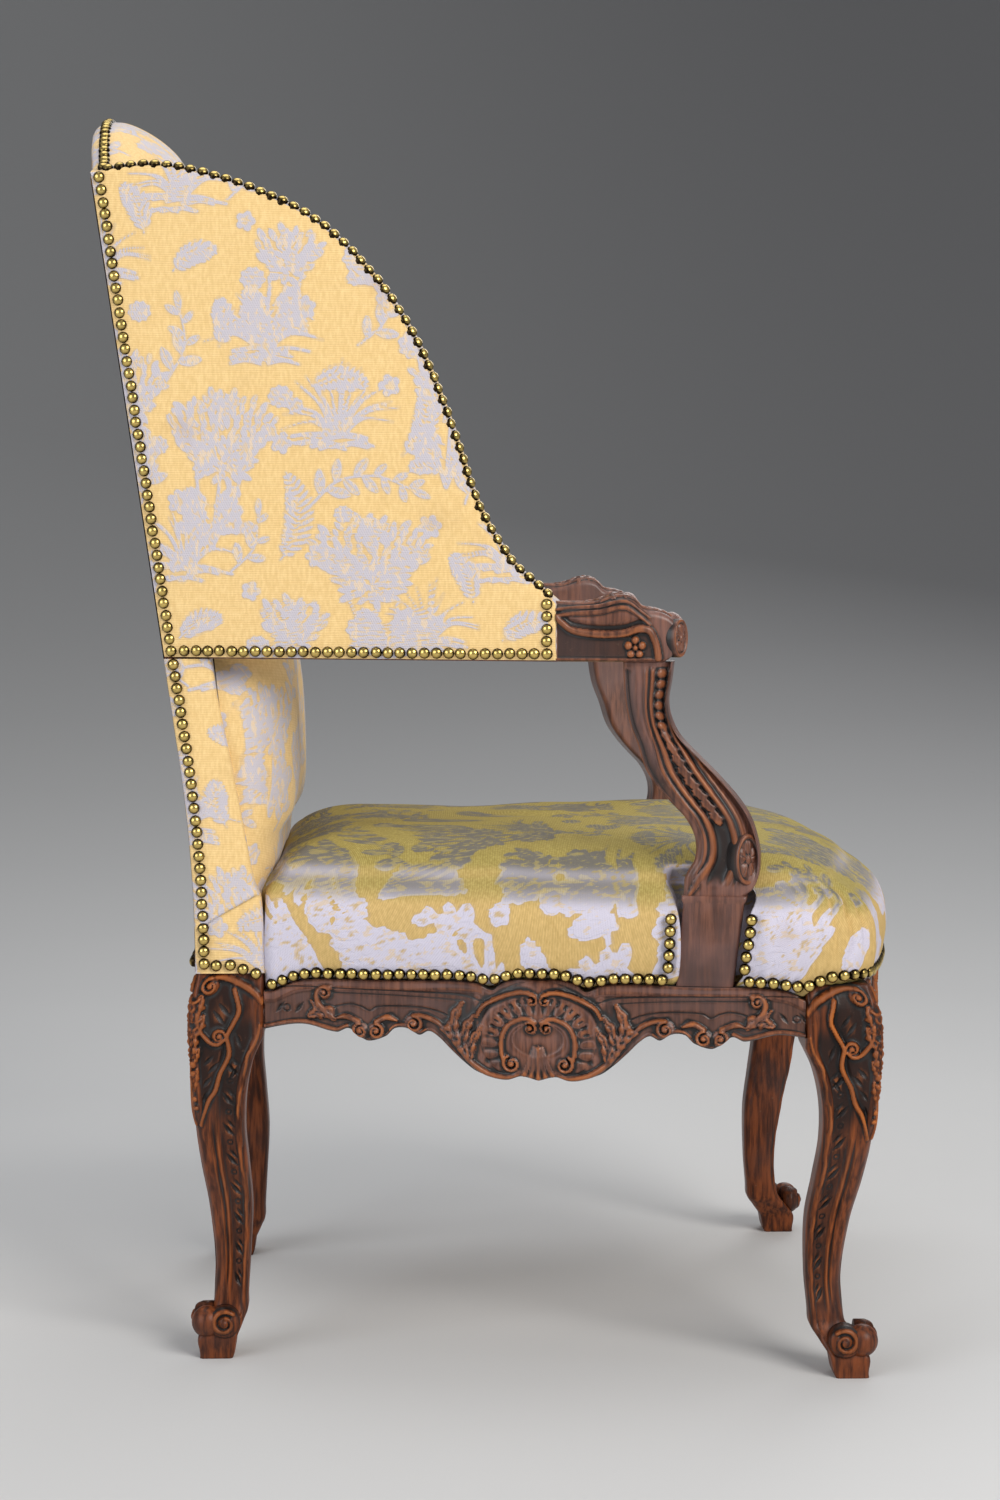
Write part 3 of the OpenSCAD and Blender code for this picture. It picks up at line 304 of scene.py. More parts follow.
def join(name, things):
    """One object from several, by stacking their points, faces and fields."""
    points, faces, fields, start = [], [], {}, 0
    kept = [a for t in things for a in t.data.attributes if a.domain == "POINT" and a.data_type == "FLOAT"]
    names = sorted({a.name for a in kept})
    for t in things:
        m = t.data
        co = np.empty(len(m.vertices) * 3)
        m.vertices.foreach_get("co", co)
        points.append(co.reshape(-1, 3) * 1000)
        sizes = np.empty(len(m.polygons), int)
        m.polygons.foreach_get("loop_total", sizes)
        corners = np.empty(len(m.loops), int)
        m.loops.foreach_get("vertex_index", corners)
        starts = np.concatenate([[0], np.cumsum(sizes)[:-1]])
        for count in np.unique(sizes):
            at = starts[sizes == count]
            faces.append(corners[at[:, None] + np.arange(count)] + start)
        for key in names:
            value = np.zeros(len(m.vertices))
            if key in m.attributes:
                m.attributes[key].data.foreach_get("value", value)
            fields.setdefault(key, []).append(value)
        start += len(m.vertices)
    made = make_mesh(name, np.vstack(points), faces, {k: np.concatenate(v) for k, v in fields.items()})
    for t in things:
        old = t.data
        bpy.data.objects.remove(t)
        bpy.data.meshes.remove(old)
    return made


# %% [markdown]
# ## Rounded box sections
#
# Legs, supports and arms are squared timber with eased edges. `box_ring` walks round such sections and
# keeps each point's normal and its distances from the corners, the map that the carving is drawn on.


# %% Rounded box sections
def box_ring(w, h, r, counts):
    """Points round w by h boxes with corners of radius r: sides in the order bottom, right, top, left.

    Each side runs from corner to corner; within r of a corner the point lies on the corner's arc, and the
    corner itself is the arc's middle, at 45 degrees. Returns a, b, the normal's two parts, and for each
    point its distances from the first and the last corner of its side.
    """
    w, h, r = (np.atleast_1d(np.asarray(v, float))[:, None] for v in (w, h, r))
    zero = np.zeros_like(w + h + r)
    w, h, r = w + zero, h + zero, r + zero
    parts = []
    sides = [
        ((zero, zero), (1, 0), (0, -1), w), ((w, zero), (0, 1), (1, 0), h),
        ((w, h), (-1, 0), (0, 1), w), ((zero, h), (0, -1), (-1, 0), h),
    ]
    for (start, go, out, length), count in zip(sides, counts):
        e = (np.arange(count) / count)[None] * length
        head, tail = np.clip(1 - e / r, 0, 1), np.clip(1 - (length - e) / r, 0, 1)
        angle = (tail - head) * math.pi / 4
        along = np.where(head > 0, r, np.where(tail > 0, length - r, e))
        deep = np.where((head > 0) | (tail > 0), -r, 0)
        reach = np.where((head > 0) | (tail > 0), r, 0)
        n = np.stack([np.cos(angle) * out[j] + np.sin(angle) * go[j] for j in (0, 1)])
        p = [start[j] + along * go[j] + deep * out[j] + reach * n[j] for j in (0, 1)]
        parts.append((p[0], p[1], n[0], n[1], e, length - e))
    return [np.concatenate([part[j] for part in parts], axis=1) for j in range(6)]


# %% [markdown]
# ## Relief carving
#
# The frame is cut with gouges, in low relief. It could be sculpted, but in a relief that is computed every
# cut stays a line that can be moved. It is a height over map points $(a, b)$. Each tool finds the points
# near a line with their distance $d$, the side they lie on and their share $s$ along it, and then raises
# them towards a level or cuts them down:
#
# $$h \leftarrow h + \max(L(d, s) - h,\ 0)\,q(d) \qquad\text{or}\qquad h \leftarrow h - D\,q(d)$$


# %% The carver's tools
class Relief:
    """Height of carving, in millimetres, over map coordinates a and b."""

    def __init__(self, a, b):
        self.shape = np.broadcast(a, b).shape
        self.p = np.stack([np.broadcast_to(v, self.shape).ravel() for v in (a, b)], 1)
        self.h = np.zeros(len(self.p))

    def near(self, line, reach):
        """Map points within reach of the line's box: indices, distance, side, share along the line."""
        line = np.asarray(line, float)
        low, high = line.min(0) - reach, line.max(0) + reach
        pick = np.nonzero(np.all((self.p > low) & (self.p < high), axis=1))[0]
        q = self.p[pick]
        best = np.full(len(pick), 1e9)
        side, share = np.zeros(len(pick)), np.zeros(len(pick))
        steps = np.diff(line, axis=0)
        lengths = np.maximum(np.linalg.norm(steps, axis=1), 1e-6)
        run = np.concatenate([[0], np.cumsum(lengths)])
        for a, d, l, r in zip(line[:-1], steps, lengths, run):
            w = q - a
            t = np.clip(w @ d / l**2, 0, 1)
            gap = np.hypot(w[:, 0] - t * d[0], w[:, 1] - t * d[1])
            closer = gap < best
            best[closer] = gap[closer]
            share[closer] = (r + t * l)[closer] / run[-1]
            side[closer] = np.sign(d[0] * w[:, 1] - d[1] * w[:, 0])[closer]
        return pick, best, side, share

    def raise_to(self, pick, level, q):
        """h + max(level - h, 0) q"""
        self.h[pick] += np.maximum(level - self.h[pick], 0) * q

    def ridge(self, line, width, level, head=1.0, tail=0.35):
        """Rounded bead, level (1 - (d / half)^2)^0.5; head and tail are its shares of width at the ends."""
        pick, d, _, s = self.near(line, width)
        taper = np.minimum(mix(head, 1, np.clip(s / 0.35, 0, 1)), mix(tail, 1, np.clip((1 - s) / 0.5, 0, 1)))
        u = np.clip(d / (width / 2 * taper + 1e-6), 0, 1)
        self.raise_to(pick, level * (0.5 + 0.5 * taper), np.sqrt(1 - u**2))

    def cut(self, line, width, depth, head=1.0, tail=1.0):
        """Gouge of the given width: h - depth (1 - (d / half)^2)."""
        pick, d, _, s = self.near(line, width)
        taper = np.minimum(mix(head, 1, np.clip(s / 0.4, 0, 1)), mix(tail, 1, np.clip((1 - s) / 0.4, 0, 1)))
        u = np.clip(d / (width / 2 * taper + 1e-6), 0, 1)
        self.h[pick] -= depth * taper * (1 - u**2)

    def dome(self, x, y, rx, ry, level, power=0.5):
        """Oval button: level (1 - rho^2)^power."""
        rho2 = ((self.p[:, 0] - x) / rx) ** 2 + ((self.p[:, 1] - y) / ry) ** 2
        pick = np.nonzero(rho2 < 1)[0]
        self.raise_to(pick, level, (1 - rho2[pick]) ** power)

    def ring(self, x, y, radius, width, depth):
        """Circular punch mark round a small button: h - depth (1 - ((rho - radius) / half)^2)."""
        rho = np.hypot(self.p[:, 0] - x, self.p[:, 1] - y)
        self.h -= depth * np.clip(1 - ((rho - radius) / (width / 2)) ** 2, 0, 1)

    def volute(self, x, y, radius, level, start, turns=1.4, hand=1, width=0.42):
        """Spiral bead r = R (1 - 0.72 t) that winds in to an eye from its outer end at start degrees."""
        t = np.linspace(0, 1, 36)
        angle = np.radians(start) + hand * 2 * np.pi * turns * t
        r = radius * (1 - 0.72 * t)
        self.dome(x, y, radius * 1.15, radius * 1.15, level * 0.35, 0.3)
        line = np.stack([x + r * np.cos(angle), y + r * np.sin(angle)], 1)
        groove = np.stack([x + r * 0.74 * np.cos(angle), y + r * 0.74 * np.sin(angle)], 1)
        self.cut(groove, radius * 0.3, level * 0.5)
        self.ridge(line, radius * width, level, 1, 0.7)
        self.dome(x, y, radius * 0.34, radius * 0.34, level * 1.25)

    def leaf(self, line, width, level, lobes=4, open_end=False):
        """Leaf of half width sin(pi s^0.75)^0.6 along a line, with scalloped lobes and fanned veins.

        An open-ended leaf grows out of its stem at once and tapers as (1 - s)^0.5.
        """
        line = flow(line, 5)
        pick, d, side, s = self.near(line, width)
        if open_end:
            swell = (1 - s) ** 0.5 * np.clip(s * 6, 0, 1) ** 0.5
        else:
            swell = np.sin(np.pi * np.clip(s, 0.02, 1) ** 0.75) ** 0.6
        half = width / 2 * (swell * (1 + 0.2 * np.cos(2 * np.pi * lobes * s))) + 1e-3
        u = np.clip(d / half, 0, 1)
        vein = 0.22 * np.cos(2 * np.pi * (lobes * s - 0.8 * u + 0.25 * side))
        level = level * (0.78 + vein - 0.45 * np.exp(-((d / (0.07 * width + 0.5)) ** 2)))
        self.raise_to(pick, level, (1 - u**2.2) ** 0.5)

    def get(self):
        """The height on the map's own shape."""
        return self.h.reshape(self.shape)


# %% [markdown]
# ## Cabriole legs
#
# A cabriole leg is sawn from one square block and carved afterwards, and the formula does the same: at
# height $z$ the leg is a rounded square of side $w(z)$ that is swept inwards by $o(z)$. Its two outer faces
# carry the same relief, drawn once over the map $(d, z)$, where $d$ is the distance from the corner that
# points outwards. The knee has a cartouche between wavy ribbons, and the shank a hollow with gouge cuts.

# %% Outline of a leg
LEG_SWEEP = [
    [0, 0.05], [20, 0.18], [34, 0.5], [46, 0.8], [58, 0.9], [95, 1], [150, 0.77], [193, 0.44],
    [232, 0.2], [271, 0.03], [320, 0], [362, 0.1], [386, 0.35],
]
LEG_WIDTH = [
    [0, -0.03], [20, 0.12], [40, 0.08], [58, 0], [95, 0], [150, 0.2], [193, 0.31],
    [232, 0.37], [271, 0.53], [300, 0.72], [316, 0.9], [326, 1], [386, 1],
]
LEG_CORNER = [[0, 4], [20, 4], [45, 10], [100, 10], [230, 13], [300, 11], [350, 7], [386, 3]]
LEG_RIBBON = [
    [230, 3], [237, 6], [250, 12], [272, 23], [286, 29], [306, 38], [325, 38], [350, 47], [371, 40],
]
TOE_RADIUS = 15.5
POST_THICK = 30.0


def leg_width(z, sweep):
    """Side of the leg's section; above the knee it gives back what the sweep takes."""
    plain = ANKLE + (BLOCK - ANKLE) * keyed(LEG_WIDTH, z)
    return np.minimum(plain, BLOCK - sweep * keyed(LEG_SWEEP, z) * (z > 310))


# %% Carving of a leg
def leg_relief(d, z, w):
    """Carving of one outer face over its distance d from the corner and its height z, on a side of w."""
    c = d / w
    r = Relief(d, z)
    shank = step(z, 52, 82) * (1 - step(z, 215, 262))
    knee = step(z, 236, 262) * (1 - step(z, 377, 384))
    ribbon = keyed(LEG_RIBBON, z)
    hollow = step(c, 0.44, 0.52) * (1 - step(c, 0.82, 0.9)) * step(z, 45, 70) * (1 - step(z, 330, 352))
    sunk = -2.0 * hollow - 1.4 * knee * (d > ribbon) * (1 - step(c, 0.8, 0.9))
    sunk -= 3.2 * knee * (1 - step(d, ribbon - 5, ribbon)) * step(d, 4, 9)
    sunk += shank * (1.1 * bump(c, 0.29, 0.035) + 1.1 * bump(c, 0.42, 0.035) - 0.9 * bump(c, 0.355, 0.03))
    r.h += sunk.ravel()

    def at(share, height):
        """Map point at a share of the leg's side, at a height."""
        return [share * float(leg_width(np.array(height, float), FRONT_SWEEP)), height]

    for k, low in enumerate(np.arange(70, 300, 31.0)):
        r.cut([at(0.80, low), at(0.69, low + 4), at(0.56, low + 13)], 5.0, 2.6, 0.4, 0.3)
        r.cut([at(0.83, low + 8), at(0.74, low + 11), at(0.64, low + 17)], 3.6, 1.9, 0.4, 0.3)
        if k < 7:
            x, y = at(0.68, low + 24)
            r.ring(x, y, 2.5, 2.0, 1.3)
    heights = np.arange(40, 338, 4.0)
    edge = [at(0.93 + 0.022 * math.sin(h / 8.5) + 0.01 * math.sin(h / 3.1), h) for h in heights]
    r.ridge(edge, 5.4, 1.7, 1, 0.8)
    wavy = [
        [40, 371], [47, 352], [42, 338], [36, 325], [38, 307],
        [29, 288], [24, 272], [17, 262], [11, 250], [4, 236],
    ]
    r.ridge(flow(wavy), 5.2, 2.8, 0.9, 0.8)
    r.ridge(flow([[70, 358], [60, 368], [48, 375], [34, 381], [22, 384], [14, 381]]), 7.5, 2.4, 0.7, 1)
    r.volute(15, 374, 8.0, 4.2, 95, 1.2, 1)
    r.ridge(flow([[11, 360], [7, 346], [9, 332], [17, 321], [26, 317], [33, 322]]), 5.0, 3.6, 0.6, 1)
    r.volute(28, 325, 6.6, 3.8, -10, 1.25, 1)
    for line, width, level in [
        ([[9, 364], [5, 352], [1, 338]], 15, 4.6), ([[12, 345], [8, 334], [2, 322]], 11, 4.4),
        ([[3, 330], [1.5, 316], [0, 303]], 12, 5.0), ([[8, 312], [4, 305], [0, 297]], 8, 4.0),
        ([[5, 292], [2, 281], [0, 270]], 8, 3.4),
    ]:
        r.leaf(line, width, level, 3)
    for x, y, size in [(0, 297, 4.2), (0, 288, 3.4), (0, 262, 3.0), (1, 253, 2.4)]:
        r.dome(x, y, size, size, 4.4)
    for a, b in [
        ((38, 344), (27, 357)), ((33, 336), (22, 350)), ((22, 305), (13, 296)), ((27, 298), (17, 288)),
        ((20, 284), (11, 274)), ((15, 268), (9, 260)), ((50, 312), (44, 328)), ((46, 294), (38, 282)),
    ]:
        r.cut([a, b], 4.2, 2.2, 0.4, 0.4)
    return r.get()


# %% [markdown]
# ## The toe
#
# The toe is a round roll with a spiral cut into each cheek. Carved into the leg's own faces it would
# stretch them badly, so the roll is an ellipsoid and each cheek a disc of polar rings, joined with the leg.


# %% Spiral discs and round rolls
def scroll_disc(centre, across, up, out, thick, level, fall):
    """Disc of polar rings with a spiral bead, that falls off as fall rho^2.6 to a rim."""
    rho = np.concatenate([np.linspace(0.02, 1, 22), [1.0, 1.0]])
    angle = np.linspace(0, 2 * np.pi, 72, endpoint=False)
    x, y = TOE_RADIUS * rho[:, None] * np.cos(angle), TOE_RADIUS * rho[:, None] * np.sin(angle)
    relief = Relief(x, y)
    relief.volute(0, 0, TOE_RADIUS * 0.84, level, 130, 1.3, -1, 0.4)
    h = relief.get() * (1 - 0.5 * step(rho, 0.86, 1))[:, None] - fall * rho[:, None] ** 2.6
    h[-2], h[-1] = -0.5 * thick, -thick
    place = np.stack([x, y, h], -1) @ np.array([across, up, out], float)
    grid = np.asarray(centre, float) + place
    return skin("disc", grid, fields={"relief": np.clip(h, -2, 3)})


def ball(centre, radii, rings=20, around=40):
    """Ellipsoid with its poles up and down: centre + radii (sin v cos u, sin v sin u, cos v)."""
    v = np.linspace(0.03, np.pi - 0.03, rings)[:, None]
    u = np.linspace(0, 2 * np.pi, around, endpoint=False)[None]
    unit = np.stack([np.sin(v) * np.cos(u), np.sin(v) * np.sin(u), np.cos(v) + 0 * u], -1)
    grid = np.asarray(centre, float) + unit * np.asarray(radii, float)
    return skin("ball", grid, fields={"relief": np.full((rings, around), 1.6)})


# %% Legs
def leg(name, kx, ky, sx, sy, sweep, top_rows=()):
    """A leg whose knee points along the signs sx, sy; a post stands on it at the top_rows.

    A point (a, b) of the section, with its relief, goes to (kx - sx (o + w - a), ky - sy (o + w - b)).
    """
    z = np.concatenate([np.arange(0, 386, 1.35), [386.0]])
    w = leg_width(z, sweep)
    # The pad under the toe stands a little further in than the toe
    o = sweep * keyed(LEG_SWEEP, z) + 5.0 * (1 - step(z, 1, 24))
    plain, n = 16, 54
    a, b, na, nb, head, _ = box_ring(w, w, keyed(LEG_CORNER, z), (plain, n, n, plain))
    far_face = slice(plain + n, plain + 2 * n)
    d = head[:, far_face]
    face = leg_relief(d, z[:, None] + 0 * d, w[:, None])
    face *= (step(z, 24, 50) * (1 - step(z, 384, 386)))[:, None]
    h = np.zeros_like(a)
    h[:, far_face] = face
    h[:, plain + 1 : plain + n] = face[:, :0:-1]
    h[:, plain] = face[:, -1]
    a, b = a + na * h, b + nb * h
    x = kx - sx * (o[:, None] + w[:, None] - a)
    y = ky - sy * (o[:, None] + w[:, None] - b)
    grid = np.stack([x, y, z[:, None] + 0 * x], -1)
    if len(top_rows):
        extra = []
        for level in top_rows:
            back, deep = back_line(level), post_deep(level)
            pa, pb = a[-1] / w[-1], b[-1] / w[-1]
            post_x = sx * (POST_X - POST_THICK * (1 - pa))
            extra.append(np.stack([post_x, back - deep * (1 - pb), 0 * pa + level], -1))
        grid = np.concatenate([grid, np.array(extra)])
        h = np.concatenate([h, np.zeros((len(extra), h.shape[1]))])
    made = [skin("shaft", grid, fields={"relief": h})]
    roll, eye, high = 13.5, 31.0, 36.0
    made.append(ball([kx - sx * roll, ky - sy * roll, high], [TOE_RADIUS, TOE_RADIUS, TOE_RADIUS + 0.5]))
    up, side, ahead = (0, 0, 1), (sx, 0, 0), (0, sy, 0)
    cheek = [kx - sx * 1.5, ky - sy * eye, high + 0.5]
    made.append(scroll_disc(cheek, ahead, up, side, 20, 3.4, 2.5))
    cheek = [kx - sx * eye, ky + sy * 1.0, high + 0.5]
    made.append(scroll_disc(cheek, side, up, ahead, 20, 2.4, 9.5))
    return join(name, made)


# %% The four legs
front_legs = both_sides(leg("carved_front_leg_right", -KNEE_X, KNEE_Y, -1, -1, FRONT_SWEEP), "front_leg")
post_levels = [400, 440, 480, 520, 560, 620, 690, 900, 1129]
rear_leg = leg("carved_rear_leg_right", -REAR_KNEE_X, REAR_KNEE_Y, -1, 1, REAR_SWEEP, post_levels)
rear_legs = both_sides(rear_leg, "rear_leg")
print("faces of a front leg:", len(front_legs[0].data.polygons))

# %% [markdown]
# ## Carved rails
#
# The apron is symmetrical, so half of it is drawn, over the map $(m, z)$ with $m = |x - x_0|$ the distance
# from the middle of its shell. The carving could be laid on as separate bodies, but the real rail is one
# board, cut back round the ornament, and so it is one height field here. Wrapping the section round a
# straight or a bowed line gives the side rails and the front rail.

# %% Outline of an apron
APRON = [
    [0, 96], [17, 92], [32, 96], [48, 93], [62, 88], [74, 79], [86, 68], [98, 56], [108, 50],
    [118, 54], [128, 48], [142, 48], [151, 56], [168, 61], [178, 56], [188, 49], [200, 53],
    [230, 46], [250, 47], [290, 56],
]
CROWN = [[0, 4], [20, 4], [36, 0], [46, -7], [60, -1], [90, 1], [140, 0], [215, 0], [240, -3], [262, -13]]


# %% Carving of an apron
def apron_relief(m, z, reach):
    """Carving of half a rail: m from the middle of the shell, z the height, reach the half length."""
    r = Relief(m, z)
    top = RAIL_TOP + keyed(CROWN, m)
    bottom = RAIL_TOP - keyed(APRON, m)
    shell = np.clip(1 - (m / 58) ** 2 - ((z - 333) / 52) ** 2, 0, 1)
    field = step(m, 60, 66) * (1 - step(z, top - 13, top - 10)) * step(z, bottom, bottom + 5)
    r.h += (7.0 * shell**0.6 - 1.6 * field).ravel()
    r.h += (1.2 * (1 - step(top - z, 8.5, 10.5)) * step(m, 52, 58)).ravel()
    upper = [[271, 369], [257, 373], [239, 375], [176, 373], [129, 372], [82, 370], [62, 366], [52, 362]]
    waved = [
        [202, 355], [187, 358], [176, 356], [167, 352], [159, 356],
        [140, 357], [117, 356], [101, 353], [90, 349],
    ]
    r.cut(flow(upper), 2.0, 1.4)
    r.cut(flow([[205, 369], [152, 368], [105, 366], [78, 364]]), 1.8, 1.0)
    r.cut(flow(waved), 2.2, 1.3)
    for x in (261, 242):
        r.cut([[x, 348], [x - 9, 359]], 4.4, 2.2, 0.3, 0.3)
    r.ring(249.5, 353, 3.2, 2.4, 1.5)
    # Radial flutes of the shell between its rim and the inner frame
    angle = np.arctan2(z - 318, m + 1e-6)
    radius = np.hypot(m, z - 318)
    flutes = np.clip((radius - 33) / 6, 0, 1) * np.clip((57 - radius) / 5, 0, 1) * step(angle, -0.5, -0.2)
    r.h -= (1.9 * flutes * (0.5 + 0.5 * np.cos(angle * 26)) ** 1.5).ravel()
    # Bead along the lower edge
    xs = np.arange(0, reach + 6, 3.0)
    lower = np.stack([xs, RAIL_TOP - keyed(APRON, xs) + 3.0], 1)
    r.ridge(lower[(xs > 186)], 4.6, 2.2, 0.8, 0.8)
    r.ridge(lower[(xs > 108) & (xs < 148)], 4.2, 1.8, 0.5, 0.5)
    # Rim of the shell with its pair of volutes
    rim = [[61, 349], [56, 358], [48, 364], [35, 370], [21, 374], [12, 374], [4, 371]]
    r.ridge(flow(rim), 5.0, 8.6, 0.6, 0.9)
    r.volute(6.5, 366, 5.2, 8.6, 80, 1.2, 1)
    for k in range(9):
        t = 0.25 + 1.2 * k / 8
        x, y = 50 * math.cos(t), 322 + 47 * math.sin(t)
        r.cut([[x, y], [x * 0.88, 322 + (y - 322) * 0.88]], 3.4, 2.4, 1, 0.2)
    # Inner frame with its eyes, and the husk below it
    inside = [[30, 299], [35, 312], [36, 327], [31, 340], [21, 347], [11, 349], [3, 345]]
    r.ridge(flow(inside), 5.0, 9.6, 0.8, 0.9)
    r.volute(8, 339, 6.2, 9.8, 60, 1.2, 1)
    r.volute(26, 304, 8.4, 9.4, 60, 1.3, -1)
    inner = np.clip(1 - (m / 26) ** 2 - ((z - 328) / 17) ** 2, 0, 1)
    r.h -= (3.2 * np.sqrt(inner)).ravel()
    r.volute(8, 339, 6.2, 9.0, 60, 1.2, 1)
    for k, tip in enumerate([0, 7, 14]):
        r.ridge(flow([[tip * 0.28, 320], [tip * 0.5, 308], [tip, 290 + 1.5 * k]]), 5.2, 8.6 - k, 0.6, 0.9)
    # Acanthus spray and its leaves
    spray = [
        [96, 336], [86, 328], [77, 317], [68, 306], [58, 298], [47, 292], [35, 290], [24, 291], [18, 297],
    ]
    r.ridge(flow(spray), 6.5, 4.6, 0.5, 1)
    r.leaf([[83, 326], [84, 342], [80, 354], [74, 364]], 15, 5.2, 3, True)
    r.leaf([[77, 316], [74, 328], [70, 340], [62, 352]], 15, 5.6, 3, True)
    r.leaf([[68, 306], [66, 322], [60, 333], [55, 341]], 13, 6.4, 3, True)
    for x, y, size in [(90, 337, 4.6), (86, 330, 4.4), (81, 323, 4.2), (76, 316, 3.8), (70, 310, 3.2)]:
        r.dome(x, y, size, size * 0.8, 5.4)
    # Small scroll, double volute and leafy scroll towards the joint
    r.ridge(flow([[90, 333], [98, 341], [107, 346], [116, 348], [123, 348]]), 5.6, 3.6, 0.5, 1)
    r.volute(123, 340, 8.2, 4.4, 90, 1.3, 1)
    for x, hand, start in ((160.5, 1, 90), (176.5, -1, 90)):
        r.volute(x, 332, 7.4, 4.6, start, 1.3, hand)
    r.ridge(flow([[140, 343], [150, 346], [160, 341]]), 6.0, 3.0, 0.4, 1)
    r.ridge(flow([[200, 344], [190, 346], [178, 341]]), 6.0, 3.0, 0.4, 1)
    r.leaf([[226, 346], [218, 350], [209, 350], [201, 341]], 15, 4.2, 3)
    r.ridge(flow([[204, 345], [211, 351], [218, 359], [219, 368], [214, 374], [207, 374]]), 6.2, 4.0, 0.5, 1)
    r.volute(212, 369, 6.0, 4.6, 60, 1.2, 1)
    r.leaf([[212, 350], [220, 355], [226, 362]], 9, 3.4, 2, True)
    edge = np.minimum(z - bottom, top - z)
    r.h -= (2.2 * np.clip(1 - edge / 2.5, 0, 1) ** 2).ravel()
    return r.get()


# %% A rail from its apron
def rail(name, start, end, middle, place):
    """A rail from x = start to end with its shell at middle; place maps (x, depth, z) to the chair."""
    x = np.arange(start, end + 0.1, 1.35)
    m = np.abs(x - middle)
    top, bottom = RAIL_TOP + keyed(CROWN, m), RAIL_TOP - keyed(APRON, m)
    share = np.linspace(0, 1, 74)
    z_face = top[:, None] + (bottom - top)[:, None] * share
    h = apron_relief(m[:, None] + 0 * z_face, z_face, float(m.max()))
    back = np.array([[12, 1], [RAIL_THICK, 1], [RAIL_THICK, 0], [12, 0]])
    z_back = top[:, None] + (bottom - top)[:, None] * back[:, 1]
    depth = np.concatenate([-h, np.broadcast_to(back[:, 0], z_back.shape)], axis=1)
    z = np.concatenate([z_face, z_back], axis=1)
    grid = place(x[:, None] + 0 * z, depth, z)
    field = np.concatenate([h, np.zeros_like(z_back)], axis=1)
    return skin(name, grid, fields={"relief": field})


# %% Lines of the side rail and the front rail
SIDE_START = np.array([-(REAR_KNEE_X - 6), REAR_KNEE_Y - BLOCK])
SIDE_END = np.array([-(KNEE_X - 6), KNEE_Y + BLOCK])
SIDE_RUN = float(np.linalg.norm(SIDE_END - SIDE_START))
SIDE_ANGLE = math.atan2(*(SIDE_END - SIDE_START)[::-1])
COS_SIDE, SIN_SIDE = math.cos(SIDE_ANGLE), math.sin(SIDE_ANGLE)


def on_side(x, y, z):
    """From the right rail's frame, x to the front and y inwards, to the chair's."""
    x, y, z = np.broadcast_arrays(np.asarray(x, float), y, z)
    across, along = x * COS_SIDE - y * SIN_SIDE, x * SIN_SIDE + y * COS_SIDE
    return np.stack([SIDE_START[0] + across, SIDE_START[1] + along, z], -1)


FRONT_SPAN = 2 * (KNEE_X - BLOCK)
FRONT_RADIUS = ((FRONT_SPAN / 2) ** 2 + FRONT_BOW**2) / (2 * FRONT_BOW)
FRONT_FACE_Y = KNEE_Y + 9 - FRONT_BOW


def on_front(x, y, z):
    """x runs along the bowed rail's face, y is the depth behind it."""
    x, y, z = np.broadcast_arrays(np.asarray(x, float), y, z)
    reach = FRONT_RADIUS - y
    angle = x / FRONT_RADIUS
    return np.stack([reach * np.sin(angle), FRONT_FACE_Y + FRONT_RADIUS - reach * np.cos(angle), z], -1)


# %% The three carved rails
JOINT_GAP = 0.3
SHELL_MIDDLE = SIDE_RUN * 0.513
side_rail = rail("carved_side_rail_right", JOINT_GAP, SIDE_RUN - JOINT_GAP, SHELL_MIDDLE, on_side)
side_rails = both_sides(side_rail, "side_rail")
half_arc = FRONT_RADIUS * math.asin(FRONT_SPAN / 2 / FRONT_RADIUS) - JOINT_GAP
front_rail = rail("carved_front_rail", -half_arc, half_arc, 0.0, on_front)
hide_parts("front_rail")
print("faces of a side rail:", len(side_rail.data.polygons))

# %% [markdown]
# ## Arm supports
#
# A support carries the arm. Its S could be one centre line with a width, but the two edges bend
# differently, so each has its own keys against the share of the height. The outer face is a channel of
# husks between two ridges; the front outer corner is cut away for the beads and the oval rosette.

# %% Outline of an arm support
SUPPORT_Y = KNEE_Y + 168
SUPPORT_X = (SIDE_START[1] - SUPPORT_Y) / -SIN_SIDE
SUPPORT_RISE = ARM_UNDER - RAIL_TOP
SUPPORT_FRONT = [
    [0, -0.47], [0.28, -0.66], [0.3, -0.78], [0.34, -0.88], [0.395, -0.91],
    [0.455, -0.86], [0.52, -0.74], [0.58, -0.53], [0.65, -0.19], [0.71, 0.14],
    [0.77, 0.45], [0.83, 0.61], [0.88, 0.65], [0.94, 0.6], [1, 0.56],
]
SUPPORT_REAR = [
    [0, 0.49], [0.3, 0.37], [0.34, 0.35], [0.395, 0.19], [0.46, 0.19], [0.52, 0.35], [0.565, 0.58],
    [0.61, 0.8], [0.67, 1.02], [0.75, 1.16], [0.82, 1.3], [0.9, 1.37], [1, 1.4],
]
SUPPORT_SPLAY = [[0, 0], [0.35, 0], [0.6, -4], [0.85, -11], [1, -13]]
SUPPORT_LANE = [[0, 0.42], [0.3, 0.48], [0.55, 0.56], [0.72, 0.72], [0.85, 0.8], [1, 0.8]]


